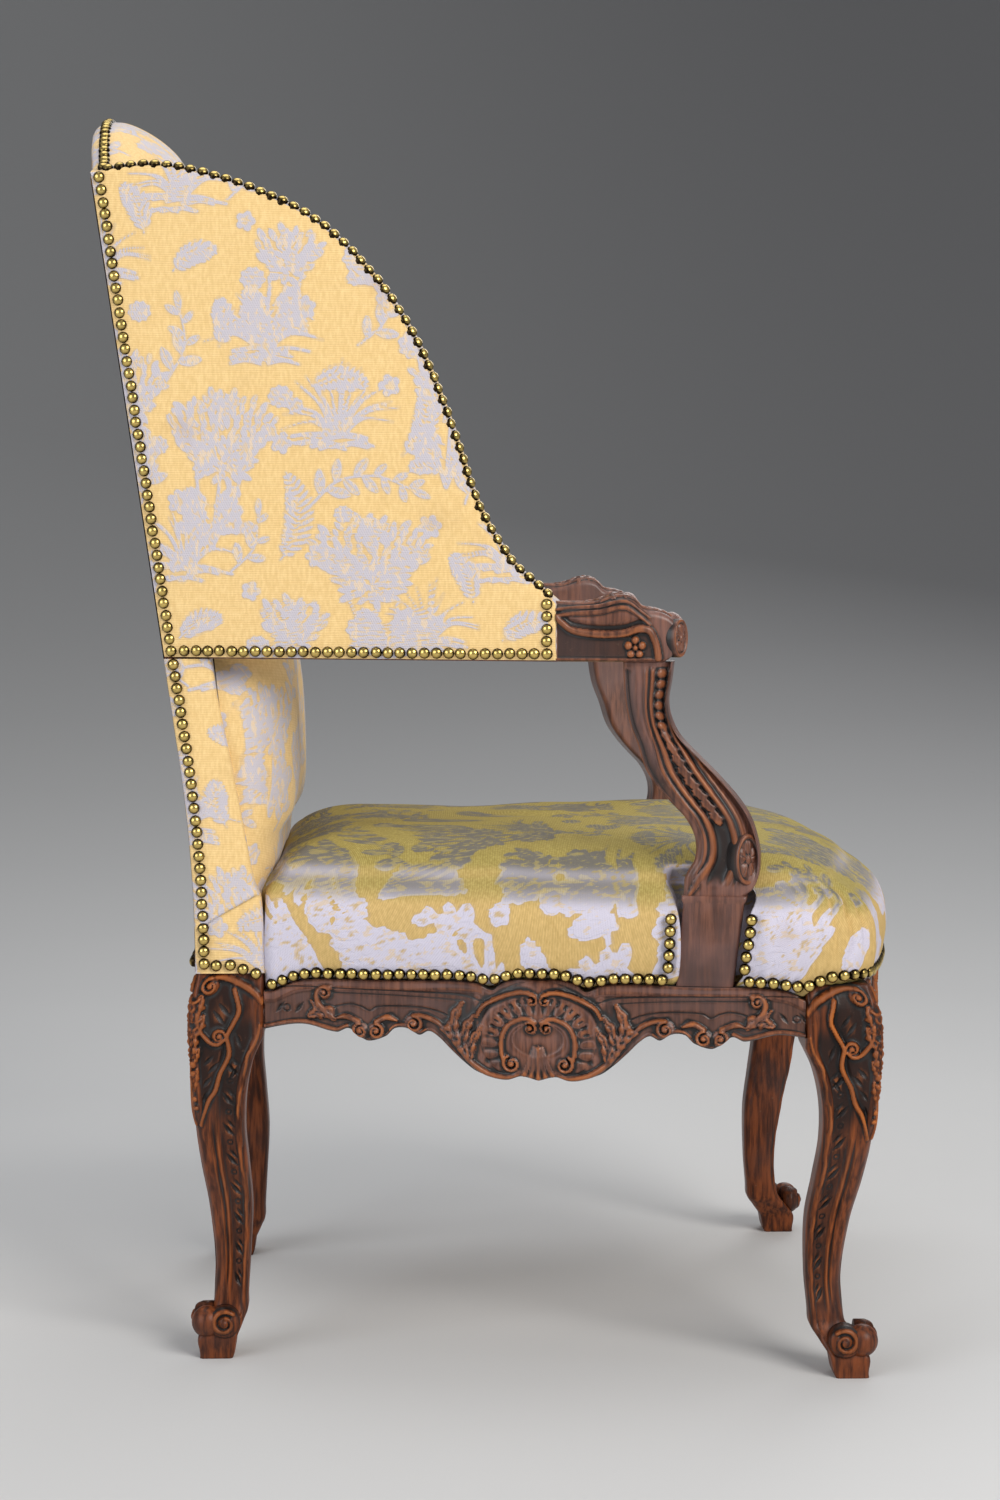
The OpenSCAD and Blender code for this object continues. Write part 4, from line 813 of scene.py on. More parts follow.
# %% Carving of an arm support
def support_relief(u, s, t):
    """Carving of the outer face: u across it from the rear, s along it in mm, t the share of its height."""
    width = 44.0
    a = u * width
    r = Relief(a, s)
    body = step(t, 0.3, 0.36) * (1 - step(t, 0.965, 0.99))
    low, high = float(s.min()), float(s.max())
    run = high - low
    lane = keyed(SUPPORT_LANE, (s - low) / run)
    off = u - lane
    h = -3.4 * (1 - step(u, 0.02, 0.3)) * step(t, 0.5, 0.66)
    h = h - 4.4 * step(off, -0.15, -0.09) * (1 - step(off, 0.09, 0.15))
    h = h + 2.4 * bump(off, -0.19, 0.035) - 1.2 * bump(off, -0.255, 0.02) + 1.6 * bump(off, -0.31, 0.03)
    h = h + 2.6 * bump(off, 0.19, 0.04) - 1.4 * bump(off, 0.26, 0.022) + 2.0 * bump(off, 0.33, 0.04)
    r.h += (h * body).ravel()

    def at(share, aside=0.0):
        """Map point on the middle of the channel, or aside from it."""
        return [(float(keyed(SUPPORT_LANE, share)) + aside) * width, low + run * share]

    for k in range(8):
        y = 0.30 + 0.055 * k
        r.leaf([at(y), at(y + 0.03, 0.02), at(y + 0.06, 0.05)], 9, 0.6, 2)
        r.leaf([at(y), at(y + 0.03, -0.02), at(y + 0.055, -0.06)], 8, 0.2, 2)
    for k in range(6):
        x, y = at(0.755 + 0.04 * k)
        r.dome(x, y, 5.6, 5.4, 2.4)
    spur = [[0.1 * width, low + 4], [0.2 * width, low + 22], [0.26 * width, low + 48]]
    r.ridge(flow(spur), 5.0, 2.4, 0.6, 0.4)
    return r.get()


# %% An arm support with its foot block
def support():
    """The S-shaped support with its square foot block: box sections between the two edges, on the rail."""
    t = np.linspace(0.27, 1, 190)
    front, rear = -SUPPORT_FOOT * keyed(SUPPORT_FRONT, t), -SUPPORT_FOOT * keyed(SUPPORT_REAR, t)
    z = RAIL_TOP + SUPPORT_RISE * t
    middle = (front + rear) / 2
    s = np.concatenate([[0], np.cumsum(np.hypot(np.diff(middle), np.diff(z)))])
    w = front - rear
    n = 44
    a, b, na, nb, head, _ = box_ring(w, SUPPORT_DEPTH, np.full_like(t, 5.0), (n, 20, 30, 20))
    u = a[:, :n] / w[:, None]
    cut_corner = 9.0 * step(u, 0.66, 1.0) * step(t, 0.3, 0.4)[:, None]
    face = support_relief(head[:, :n] / w[:, None], s[:, None] + 0 * u, t[:, None] + 0 * u)
    face = np.where(head[:, :n] < 2, face * 0.6, face)
    h = np.zeros_like(a)
    h[:, :n] = face
    a, b = a + na * h, b + nb * h
    b[:, :n] += cut_corner
    splay = keyed(SUPPORT_SPLAY, t)[:, None]
    grid = on_side(SUPPORT_X + rear[:, None] + a, splay + b, z[:, None] + 0 * a)
    made = [skin("support", grid, fields={"relief": h})]
    block_rise = 88
    levels = np.array([0, 0.4, 80, 84, block_rise, block_rise + 0.4])
    grow = np.array([-0.6, 0, 0, 1.8, 1.8, 0.6])
    front_x = SUPPORT_FOOT * 0.47 + 0.12 * SUPPORT_FOOT * 1.6 * levels / block_rise + grow
    rear_x = -SUPPORT_FOOT * 0.49 + 0.12 * SUPPORT_FOOT * levels / block_rise - grow
    a, b, *_ = box_ring(front_x - rear_x, SUPPORT_DEPTH + 2 * grow, np.full(6, 1.2), (24, 12, 24, 12))
    block = on_side(SUPPORT_X + rear_x[:, None] + a, b - grow[:, None], RAIL_TOP + levels[:, None] + 0 * a)
    made.append(skin("block", block, fields={"relief": np.full(a.shape, 0.2)}))
    flower = on_side(SUPPORT_X + 0.70 * SUPPORT_FOOT, 1.2, RAIL_TOP + 0.395 * SUPPORT_RISE)
    made.append(rosette(flower, 34, 14.5, 25))
    return join("carved_arm_support_right", made)


# %% [markdown]
# ## Rosettes
#
# An oval flower fills the swell of each support and the end of each arm: one formula in polar rings, with
# petals where $\cos 5a$ is high, a button in the middle and a bead round the rim.


# %% A rosette
def rosette(centre, turn, wide, high):
    """Oval frame with petals and a button, facing -X but turned towards the front by the turn angle."""
    petals = 5
    centre = np.asarray(centre, float).reshape(3)
    out = np.array([-math.cos(math.radians(turn)), -math.sin(math.radians(turn)), 0])
    across = np.array([-out[1], out[0], 0])
    up = np.array([0, 0, 1.0])
    rho = np.concatenate([np.linspace(0.02, 1, 26), [1.0, 1.0]])
    angle = np.linspace(0, 2 * np.pi, 96, endpoint=False)
    x, y = rho[:, None] * np.cos(angle), rho[:, None] * np.sin(angle)
    p = np.hypot(x, y)
    spoke = 0.5 + 0.5 * np.cos(petals * (angle - math.pi / 2))[None]
    petal = np.clip(1 - ((p - 0.46) / (0.3 * spoke**0.35 + 0.02)) ** 2, 0, 1) ** 0.5
    h = 2.6 * petal * spoke**0.4 - 1.2 * bump(p, 0.46, 0.3) * (spoke > 0.97)
    h = np.maximum(h, 3.2 * np.sqrt(np.clip(1 - (p / 0.2) ** 2, 0, 1)))
    h = h + 2.2 * np.sqrt(np.clip(1 - ((p - 0.9) / 0.1) ** 2, 0, 1))
    h[-2], h[-1] = -6, -14
    grid = centre + wide * x[..., None] * across + high * y[..., None] * up + h[..., None] * out
    return skin("rosette", grid, fields={"relief": np.clip(h, -1, 3)})


# %% The two arm supports
supports = both_sides(support(), "arm_support")
print("faces of an arm support:", len(supports[0].data.polygons))

# %% [markdown]
# ## Arms
#
# Only the front half of an arm is bare, in front of the wing. It is swept forwards as a rounded box whose
# width, top and underside have their own keys. It has a leaf on its top, mouldings that turn down in
# front, a flower on its side and a scroll at its end. Each carved side has its own relief.

# %% Outline of an arm
ARM_TOPS = [
    [0, 56], [0.15, 55], [0.33, 56], [0.5, 62], [0.63, 60], [0.72, 51], [0.84, 48], [0.93, 44], [1, 36],
]
ARM_LOWS = [[0, 0], [0.84, 0], [0.9, 0.5], [1, 9]]
ARM_WIDE = [[0, 38.6], [0.4, 42], [0.7, 43], [0.9, 43], [1, 34]]
ARM_OUT = [[0, 1.5], [0.3, 4], [0.7, 8], [1, 6]]
ARM_BEAD = [[0, 43], [7, 37], [18, 30], [45, 26.5], [70, 27.5], [85, 31.5], [94, 31], [98.5, 28]]
WING_ROOT_Y = float(back_line(ARM_UNDER))
WING_SPLAY = math.atan2(ARM_SPREAD - POST_X, WING_ROOT_Y - WING_FRONT_Y)


# %% Carving of an arm
def arm_side_relief(s, up, rise):
    """Outer side over s along the arm and the height up it: a sunk field, mouldings and a flower."""
    r = Relief(s + 0 * up, up)
    lower = keyed(ARM_BEAD, s)
    field = (1 - step(up, lower - 4.5, lower - 2.5)) * (1 - step(s, 100, 104)) * step(up, 0.6, 2.2)
    r.h -= (2.6 * field + 2.2 * bump(up, lower + 7.0, 2.4) * (1 - step(s, 88, 96))).ravel()
    r.ridge(flow(ARM_BEAD + [[101.5, 22], [104.5, 13], [106, 3]]), 7.6, 3.4, 0.8, 1)
    for offset, width, level in ((2.4, 5.0, 2.2), (9.0, 5.4, 2.4)):
        line = [[-2, 4], [16, 0], [45, 0], [70, 1], [86, 2], [97, 5]]
        line = [[run, float(np.interp(run, s[:, 0], rise[:, 0])) - (offset + below)] for run, below in line]
        r.ridge(flow(line), width, level, 0.8, 0.5)
    flower_s, flower_up, petals = 82, 13.5, 5
    for k in range(petals):
        q = 2 * math.pi * k / petals + math.pi / 2
        petal = flower_s + 7.4 * math.cos(q), flower_up + 7.4 * math.sin(q)
        r.dome(*petal, 4.4, 4.4, 2.0)
        r.ring(*petal, 4.8, 1.4, 0.7)
    r.dome(flower_s, flower_up, 3.0, 3.0, 2.2)
    return r.get()


def arm_top_relief(s, across):
    """Top over s along the arm and the distance across it: two leaves between beads, buttons in front."""
    r = Relief(s + 0 * across, across)
    r.leaf([[34, 0], [60, 0], [88, 0], [98, 0]], 34, 4.2, 5)
    r.leaf([[92, 0], [108, 0], [124, 0]], 26, 3.2, 4)
    for side in (-1, 1):
        r.ridge(flow([[0, 14 * side], [40, 15 * side], [90, 14 * side], [122, 8 * side]]), 5, 2.4, 1, 0.6)
        for k in range(4):
            r.dome(98 + 7 * k, 9 * side - 0.8 * k * side, 3.6, 3.2, 3.0)
    return r.get()


# %% An arm
def arm():
    """Bare arm from the wing to the scroll, a swept rounded box, with the hidden rail behind it."""
    t = np.linspace(0, 1, 120)
    y = mix(WING_FRONT_Y, ARM_TIP_Y + 10, t)
    low, top = ARM_UNDER + keyed(ARM_LOWS, t), ARM_UNDER + keyed(ARM_TOPS, t)
    wide, out = keyed(ARM_WIDE, t), -ARM_SPREAD - keyed(ARM_OUT, t)
    n = (26, 40, 40, 64)
    a, b, na, nb, head, _ = box_ring(wide, top - low, np.full_like(t, 7.0), n)
    h = np.zeros_like(a)
    s = (t * (WING_FRONT_Y - ARM_TIP_Y))[:, None]
    outer, above = slice(sum(n[:3]), sum(n)), slice(sum(n[:2]), sum(n[:3]))
    rise = (top - low)[:, None]
    h[:, outer] = arm_side_relief(s, rise - head[:, outer], rise)
    h[:, above] = arm_top_relief(s, a[:, above] - wide[:, None] / 2)
    a, b = a + na * h, b + nb * h
    grid = np.stack([out[:, None] + a, y[:, None] + 0 * a, low[:, None] + b], -1)
    bare = skin("bare", grid, fields={"relief": h})
    ends = np.array([
        [WING_ROOT_Y - POST_DEPTH - 0.2, 38], [WING_FRONT_Y + 75, 38], [WING_FRONT_Y + 60, ARM_HEIGHT],
        [WING_FRONT_Y - 2, ARM_HEIGHT],
    ])
    a, b, *_ = box_ring(np.full(4, 19.0), ends[:, 1], np.full(4, 1.0), (6, 10, 6, 10))
    face = -POST_X - (WING_ROOT_Y - ends[:, 0]) * math.tan(WING_SPLAY) + 1
    core = np.stack([face[:, None] + a, ends[:, :1] + 0 * a, ARM_UNDER + b], -1)
    hidden = skin("hidden", core, fields={"relief": 0 * a})
    scroll_y, scroll_z = ARM_TIP_Y + 13, ARM_UNDER + 24
    scroll = ball([-ARM_SPREAD + 15, scroll_y + 2, scroll_z + 2], [20, 15, 21])
    flower = rosette([-ARM_SPREAD - 0.5, scroll_y - 5.5, scroll_z - 1.5], 56, 13.0, 18.5)
    return join("carved_arm_right", [bare, hidden, scroll, flower])


# %% The two arms
arms = both_sides(arm(), "arm")
carved = [*front_legs, *rear_legs, *side_rails, front_rail, *supports, *arms]
print("carved pieces:", len(carved), "faces:", sum(len(c.data.polygons) for c in carved))

# %% [markdown]
# ## The woven pattern
#
# The cover is a figured cloth: branches, leaves, fronds and flowers over a satin ground. A picture could be
# laid on it, but it has one resolution and no thickness. Here one tile of the design is drawn from a seed,
# and every point of a surface gets the signed distance to the nearest motif, $\max_k (r_k - d_k)$ in
# millimetres, and a second field that marks the veins. Distances wrap round the tile without a seam.


# %% Motifs as signed distances
TILE = np.array([318.0, 352.0])
OUTSIDE = -9.0


class Weave:
    """Signed distance to the motifs at flat cloth points, and the veins within them."""

    def __init__(self, flat):
        self.p = np.mod(np.asarray(flat, float).reshape(-1, 2), TILE)
        self.motif = np.full(len(self.p), OUTSIDE)
        self.vein = np.zeros(len(self.p))
        order = np.argsort(self.p[:, 0])
        self.order, self.sorted_x = order, self.p[order, 0]

    def around(self, centre, reach):
        """Points within reach of a centre, and their place from it, both wrapped round the tile."""
        low, high = centre[0] - reach, centre[0] + reach
        spans = [(low, high), (low + TILE[0], high + TILE[0]), (low - TILE[0], high - TILE[0])]
        cuts = [np.searchsorted(self.sorted_x, span) for span in spans]
        parts = [self.order[a:b] for a, b in cuts]
        pick = np.unique(np.concatenate(parts))
        q = np.mod(self.p[pick] - centre + TILE / 2, TILE) - TILE / 2
        near = np.abs(q[:, 1]) < reach
        return pick[near], q[near]

    def put(self, pick, distance, vein=0.0, rim=1.0):
        """Paints a motif over the earlier ones: its rim and veins show on them, and the union grows."""
        buried = self.motif[pick] > 1.2
        inside = distance > 0
        mark = np.clip(vein + (rim * np.exp(-((distance / 0.75) ** 2))) * buried, 0, 1) + 0 * distance
        self.vein[pick[inside]] = mark[inside]
        self.motif[pick] = np.maximum(self.motif[pick], distance)

    def stroke(self, line, width, thin=0.6):
        """Tapered line: w (1 - (1 - thin) s) - distance."""
        line = np.asarray(line, float)
        for k, (a, b) in enumerate(zip(line[:-1], line[1:])):
            half = width / 2 * mix(1, thin, k / len(line))
            middle, d = (a + b) / 2, b - a
            pick, q = self.around(middle, np.linalg.norm(d) / 2 + half + 3)
            t = np.clip((q @ d) / (d @ d) + 0.5, 0, 1) - 0.5
            self.put(pick, half - np.hypot(q[:, 0] - t * d[0], q[:, 1] - t * d[1]))

    def leaf(self, base, angle, length, width, vein=True):
        """Lens leaf: half width w/2 sin(pi s)^0.8 with a midrib and slanting side veins."""
        go = np.array([math.cos(angle), math.sin(angle)])
        centre = np.asarray(base, float) + go * length / 2
        pick, q = self.around(centre, length * 0.62)
        s, c = q @ go / length + 0.5, q @ np.array([-go[1], go[0]])
        half = width / 2 * np.sin(np.pi * np.clip(s, 0, 1)) ** 0.8
        distance = np.where((s > 0) & (s < 1), half - np.abs(c), OUTSIDE) * 0.9
        slant = 2 * np.pi * (s * length - np.abs(c) * 0.9) / 4.6
        mark = np.exp(-((c / 0.55) ** 2)) + 0.6 * (np.cos(slant) > 0.55)
        self.put(pick, distance, np.clip(mark, 0, 1) if vein else 0 * s)

    def branch(self, points, width, leaf_length, leaf_width, gap, rng):
        """Stem with leaves set alternately along it, smaller towards the tip, and one at the tip."""
        line = even(flow(points, 8), 40)
        self.stroke(line, width)
        run = np.concatenate([[0], np.cumsum(np.linalg.norm(np.diff(line, axis=0), axis=1))])
        side = 1
        for at in np.arange(gap, run[-1] - 2, gap):
            i = min(int(np.searchsorted(run, at)), len(line) - 2)
            d = line[i + 1] - line[i]
            size = mix(1.0, 0.62, at / run[-1]) * rng.uniform(0.86, 1.12)
            turn = math.atan2(d[1], d[0]) + side * rng.uniform(0.75, 1.05)
            self.leaf(line[i], turn, leaf_length * size, leaf_width * size)
            side = -side
        d = line[-1] - line[-3]
        self.leaf(line[-1], math.atan2(d[1], d[0]), leaf_length * 0.8, leaf_width * 0.7)

    def frond(self, points, count, reach, width):
        """Fern: pairs of narrow leaflets that shorten as sin(pi s) towards both ends of the rib."""
        line = even(flow(points, 8), count + 2)
        self.stroke(line, 1.7)
        for k in range(1, count + 1):
            d = line[k + 1] - line[k]
            turn = math.atan2(d[1], d[0])
            size = reach * math.sin(math.pi * (k / (count + 1)) ** 0.7) ** 0.8 + 3
            for side in (-1, 1):
                self.leaf(line[k], turn + side * 0.95, size, width, False)

    def flower(self, centre, radius, petals, turn):
        """Petals r = R |cos(n theta / 2)|^0.6 round a ringed eye."""
        pick, q = self.around(centre, radius * 1.2)
        r, a = np.hypot(q[:, 0], q[:, 1]), np.arctan2(q[:, 1], q[:, 0]) + turn
        edge = radius * (0.52 + 0.48 * np.abs(np.cos(petals * a / 2)) ** 0.6)
        line = np.exp(-((np.sin(petals * a / 2) * r / 0.9) ** 2)) * (r < radius * 0.78)
        eye = np.exp(-(((r - radius * 0.27) / 0.9) ** 2)) + (r < radius * 0.1)
        self.put(pick, edge - r, np.clip(line * 0.8 + eye, 0, 1))

    def clump(self, centre, radius, rng):
        """Rounded bush: a disc with a scalloped rim and rows of small arcs inside."""
        pick, q = self.around(centre, radius * 1.25)
        r, a = np.hypot(q[:, 0], q[:, 1] * 1.15), np.arctan2(q[:, 1], q[:, 0])
        edge = radius * (1 + 0.09 * np.cos(9 * a + rng.uniform(0, 6)))
        u, v = q[:, 0] / 5.4, q[:, 1] / 4.2
        shift = 0.5 * np.mod(np.floor(v), 2)
        x, y = np.mod(u + shift, 1) - 0.5, np.mod(v, 1)
        arc = np.exp(-(((np.hypot(x, y) - 0.5) / 0.11) ** 2))
        self.put(pick, edge - r, arc * (r < radius * 0.93))


# %% [markdown]
# ## The design of one tile
#
# Motifs are laid from the back to the front: reeds on their banks, then trees, then sprays, flowers and
# bushes in the gaps. Each new motif hides what lies under it.


# %% Drawing the tile
GOLDEN_ANGLE = 2.399963


def draw_trees(w, rng):
    """Crowns of overlapping leaves in a golden spiral, on bent stems, with a few boughs at their sides."""
    trees = [
        (62, 214, 54, 44, 0.2), (206, 96, 58, 42, -0.25), (286, 262, 40, 34, 0.1), (130, 34, 34, 26, 0.3),
    ]
    for x, y, wide, high, lean in trees:
        foot = np.array([x - lean * 60, y - high - 62])
        for spread in (-0.5, 0, 0.45):
            tip = np.array([x + spread * wide, y - high * 0.3])
            w.stroke(flow([foot, mix(foot, tip, 0.5) + [spread * 8, -4], tip]), 4.6, 0.4)
        count = int(wide * high / 21)
        for k in range(count):
            r, a = math.sqrt(1 - k / count) * 0.98, k * GOLDEN_ANGLE
            lobed = 0.9 + 0.2 * math.sin(3 * a)
            place = np.array([x + wide * r * math.cos(a) * lobed, y + high * r * math.sin(a)])
            turn = math.atan2(place[1] - y + high * 0.6, place[0] - x) + rng.uniform(-0.5, 0.5)
            size = rng.uniform(11, 17)
            base = place - np.array([math.cos(turn), math.sin(turn)]) * size * 0.4
            w.leaf(base, turn, size, size * 0.42, k % 3 == 0)
        for side in (-1, 1):
            for k in range(3):
                base = foot + [side * 2, 14 + 13 * k]
                w.frond([base, base + [side * 16, 7], base + [side * (34 - 5 * k), 4 + 6 * k]], 9, 10, 2.7)


def draw_reeds(w, rng):
    """Fans of long blades that bend outwards, on banks drawn with level strokes."""
    for x, y, reach, count in [(24, 92, 60, 17), (176, 218, 70, 19), (262, 24, 54, 15), (104, 300, 62, 17)]:
        for k in range(count):
            lean = mix(-1.15, 1.15, (k + 0.5) / count) + rng.uniform(-0.08, 0.08)
            long = reach * (1 - 0.35 * abs(lean)) * rng.uniform(0.8, 1.1)
            a, b = np.array([x + 7 * lean, y]), np.array([math.sin(lean), math.cos(lean)])
            tip = a + b * long + [lean * 12, -abs(lean) * 10]
            w.stroke(flow([a, a + b * long * 0.5 + [lean * 2, 3], tip]), 3.6, 0.15)
        for k in range(13):
            across, down = rng.uniform(-1, 1), rng.uniform(0, 1)
            wide = (34 - 12 * down) * rng.uniform(0.5, 0.8)
            cx, cy = x + across * 26, y - 2 - 15 * down
            w.stroke(flow([[cx - wide, cy], [cx, cy + 2.6], [cx + wide, cy - 1]]), 3.8, 0.7)


def draw_sprays(w, rng):
    """Branches, fern fronds, flowers and bushes in the gaps."""
    w.branch([[150, 150], [176, 172], [214, 176], [246, 164]], 2.8, 27, 11, 9.5, rng)
    w.branch([[298, 150], [306, 184], [296, 214]], 2.4, 25, 10, 9.5, rng)
    w.branch([[8, 268], [26, 300], [22, 334]], 2.6, 26, 10.5, 9.5, rng)
    w.branch([[196, 300], [222, 322], [226, 348]], 2.6, 25, 10, 9.5, rng)
    w.branch([[70, 86], [92, 108], [96, 138]], 2.4, 23, 9.5, 9, rng)
    for points, count, reach, width in [
        ([[118, 96], [134, 124], [136, 156], [124, 180]], 14, 17, 3.6),
        ([[238, 196], [256, 214], [262, 240], [256, 262]], 12, 15, 3.4),
        ([[60, 300], [66, 322], [60, 346]], 10, 14, 3.4),
        ([[150, 262], [180, 270], [206, 262]], 11, 14, 3.2),
        ([[306, 56], [300, 82], [284, 102]], 11, 14, 3.2), ([[16, 20], [36, 36], [60, 40]], 11, 13, 3.2),
    ]:
        w.frond(points, count, reach, width)
    for centre, radius, petals in [
        ((154, 100), 12, 6), ((120, 208), 11, 5), ((264, 128), 12, 6), ((18, 152), 12, 6),
        ((226, 262), 11, 5), ((144, 336), 12, 6), ((88, 66), 10, 5),
    ]:
        w.flower(np.array(centre, float), radius, petals, rng.uniform(0, 3))
    for centre, radius in [
        ((196, 30), 14), ((212, 22), 10), ((250, 300), 15), ((268, 312), 10), ((40, 120), 12),
        ((180, 140), 9), ((300, 334), 11), ((120, 252), 12), ((134, 244), 8), ((94, 12), 12),
        ((316, 206), 10),
    ]:
        w.clump(np.array(centre, float), radius, rng)


# %% The pattern on a cloth
def weave_fields(flat, shift=(0.0, 0.0)):
    """The motif and vein fields of a cloth at its flat points, in millimetres, from a shift of the tile."""
    rng = np.random.default_rng(11)
    w = Weave(flat.reshape(-1, 2) + np.asarray(shift))
    draw_reeds(w, rng)
    draw_trees(w, rng)
    draw_sprays(w, rng)
    shape = flat.shape[:-1]
    return {
        "motif": np.clip(w.motif, -6, 6).reshape(shape), "vein": w.vein.reshape(shape),
        "flat_u": flat[..., 0], "flat_v": flat[..., 1],
    }


def cloth(name, grid, flat, shift, facing, closed=False, **fields):
    """A cover without caps that faces one way, with the pattern drawn at its flat places."""
    fields = {**weave_fields(flat, shift), **fields}
    return skin(name, grid, closed=closed, caps=False, fields=fields, facing=facing)


# %% [markdown]
# ## Slack, lengths and normals
#
# Hand-laid cloth is never quite flat. `ripple` is its slack, and the other helpers measure a grid. No cloth
# simulation is run, because nailed covers are tight and take the form of the stuffing below.


# %% Measures of a surface
def ripple(a, b, seed, scale, octaves=3):
    """Sum of sines in random directions, about -1 to 1, as the slack of a hand-laid cloth."""
    rng = np.random.default_rng(seed)
    total = 0
    for k in range(octaves * 4):
        turn, phase = rng.uniform(0, 2 * np.pi, 2)
        wave = scale / 1.55 ** (k // 4)
        along = a * math.cos(turn) + b * math.sin(turn)
        total = total + np.sin(along * 2 * np.pi / wave + phase) / 1.7 ** (k // 4)
    return total / 4.2


def run_length(grid, axis):
    """Distance along rows or columns of a grid of points, from its first."""
    d = np.linalg.norm(np.diff(grid, axis=axis), axis=-1)
    start = np.zeros_like(np.take(d, [0], axis=axis))
    return np.concatenate([start, np.cumsum(d, axis=axis)], axis=axis)


def surface_area(grid):
    """Sum of half cross products of the grid's diagonals, in square metres."""
    a, b = grid[1:, 1:] - grid[:-1, :-1], grid[1:, :-1] - grid[:-1, 1:]
    return float(np.linalg.norm(np.cross(a, b), axis=-1).sum() / 2e6)


def normals(grid, closed=False):
    """Unit normals of a grid from central differences; closed wraps the columns."""
    down = np.gradient(grid, axis=0)
    if closed:
        right = (np.roll(grid, -1, 1) - np.roll(grid, 1, 1)) / 2
    else:
        right = np.gradient(grid, axis=1)
    n = np.cross(down, right)
    return n / np.maximum(np.linalg.norm(n, axis=-1, keepdims=True), 1e-9)


def smoothed(grid, times, closed=False):
    """Average of each point with its neighbours along both directions, repeated; the borders stay."""
    for _ in range(times):
        inner = grid.copy()
        inner[1:-1] = (grid[:-2] + 2 * grid[1:-1] + grid[2:]) / 4
        if closed:
            grid = (np.roll(inner, 1, 1) + 2 * inner + np.roll(inner, -1, 1)) / 4
        else:
            grid = inner.copy()
            grid[:, 1:-1] = (inner[:, :-2] + 2 * inner[:, 1:-1] + inner[:, 2:]) / 4
    return grid


def rolled_mean(values, times):
    """Running mean (a + 2 b + c) / 4 round a closed ring of values, repeated."""
    for _ in range(times):
        values = (np.roll(values, 1) + 2 * values + np.roll(values, -1)) / 4
    return values


# %% [markdown]
# ## Seat
#
# A sprung seat is domed, and its cloth is nailed down to the rails. It could be inflated by a simulation,
# but its edge has to meet the carved rails exactly, so it is a family of rings: each is the outline along
# the rails scaled by $k$ about the middle of the seat, at the height of the profile. The lower rings are
# drawn in round the feet of the arm supports and run straight again on the top.

# %% Outline along the rails
SEAT_MIDDLE = -60.0  # y of the middle of the seat
SEAT_SIDE = 290.0  # half width that the profile is drawn for
INSET = 3.8  # how far the cloth's edge stands inside the rail's face
FRONT_POINTS, NOTCH_POINTS, REAR_POINTS = 172, 60, 126
NOTCH_REACH = 29.5  # half length of the notch round the foot of a support
NAIL_PITCH = 11.8
SEAT_PROFILE = [
    [0, 1], [0.13, 0.999], [0.26, 0.995], [0.5, 0.975], [0.68, 0.93], [0.8, 0.87], [0.885, 0.79],
    [0.933, 0.7], [0.982, 0.62], [1.016, 0.54], [1.038, 0.43], [1.045, 0.31], [1.043, 0.19],
    [1.031, 0.09], [1.0, 0.032],
]


def side_face(y):
    """Half width of the seat frame at y."""
    span = SIDE_END - SIDE_START
    return -SIDE_START[0] + (SIDE_START[1] - y) * span[0] / span[1]


def side_crown(p):
    """Crown of the side rail below points of its face."""
    return keyed(CROWN, np.abs((SIDE_START[1] - p[..., 1]) / -SIN_SIDE - SIDE_RUN * 0.513))


def crown_below(p):
    """How far the wood below points of the seat's edge stands above the level of the rails."""
    x, y = np.abs(p[..., 0]), p[..., 1]
    crown = np.where(y < KNEE_Y + BLOCK, np.where(x < KNEE_X - BLOCK, keyed(CROWN, x), 3.0), side_crown(p))
    return np.where(y > SIDE_START[1] - 2, 3.0, crown)


def seat_outline(front_reach):
    """Closed outline with the two notches, and the same without them, both as equal numbers of points."""
    arc = FRONT_FACE_Y + FRONT_RADIUS
    front = [[x, arc - math.sqrt((FRONT_RADIUS - INSET) ** 2 - x**2)] for x in (0, 60, 120, 180, 225)]
    front += [[268, -345.3], [288, -332.3], [298, -310.3], [side_face(-289) - INSET, -289]]
    inner = SUPPORT_DEPTH + 1
    corners = [(front_reach, INSET), (front_reach, inner), (-NOTCH_REACH, inner), (-NOTCH_REACH, INSET)]
    mouth_f, deep_f, deep_r, mouth_r = (on_side(SUPPORT_X + x, y, 0)[:2] * [-1, 1] for x, y in corners)
    first = even(np.vstack([flow(front, 12), mouth_f]), FRONT_POINTS)
    notch = [
        mouth_f, mix(mouth_f, deep_f, 0.8), mix(deep_f, deep_r, 0.1),
        mix(deep_f, deep_r, 0.9), mix(mouth_r, deep_r, 0.8), mouth_r,
    ]
    notch = even(flow(notch, 10), NOTCH_POINTS)
    plain = np.stack([mix(mouth_f, mouth_r, t) for t in np.linspace(0, 1, NOTCH_POINTS)])
    last = [
        mouth_r, [side_face(190) - INSET, 190], [211.9, 226], [205, 231],
        [183, 231], [174, 236], [110, 236.7], [0, 236.7],
    ]
    last = even(np.array(last), REAR_POINTS)
    flip, back = np.array([-1, 1]), slice(-2, 0, -1)
    halves = [np.vstack([first[:-1], middle[:-1], last]) for middle in (notch, plain)]
    return [np.vstack([half, half[back] * flip]) for half in halves]


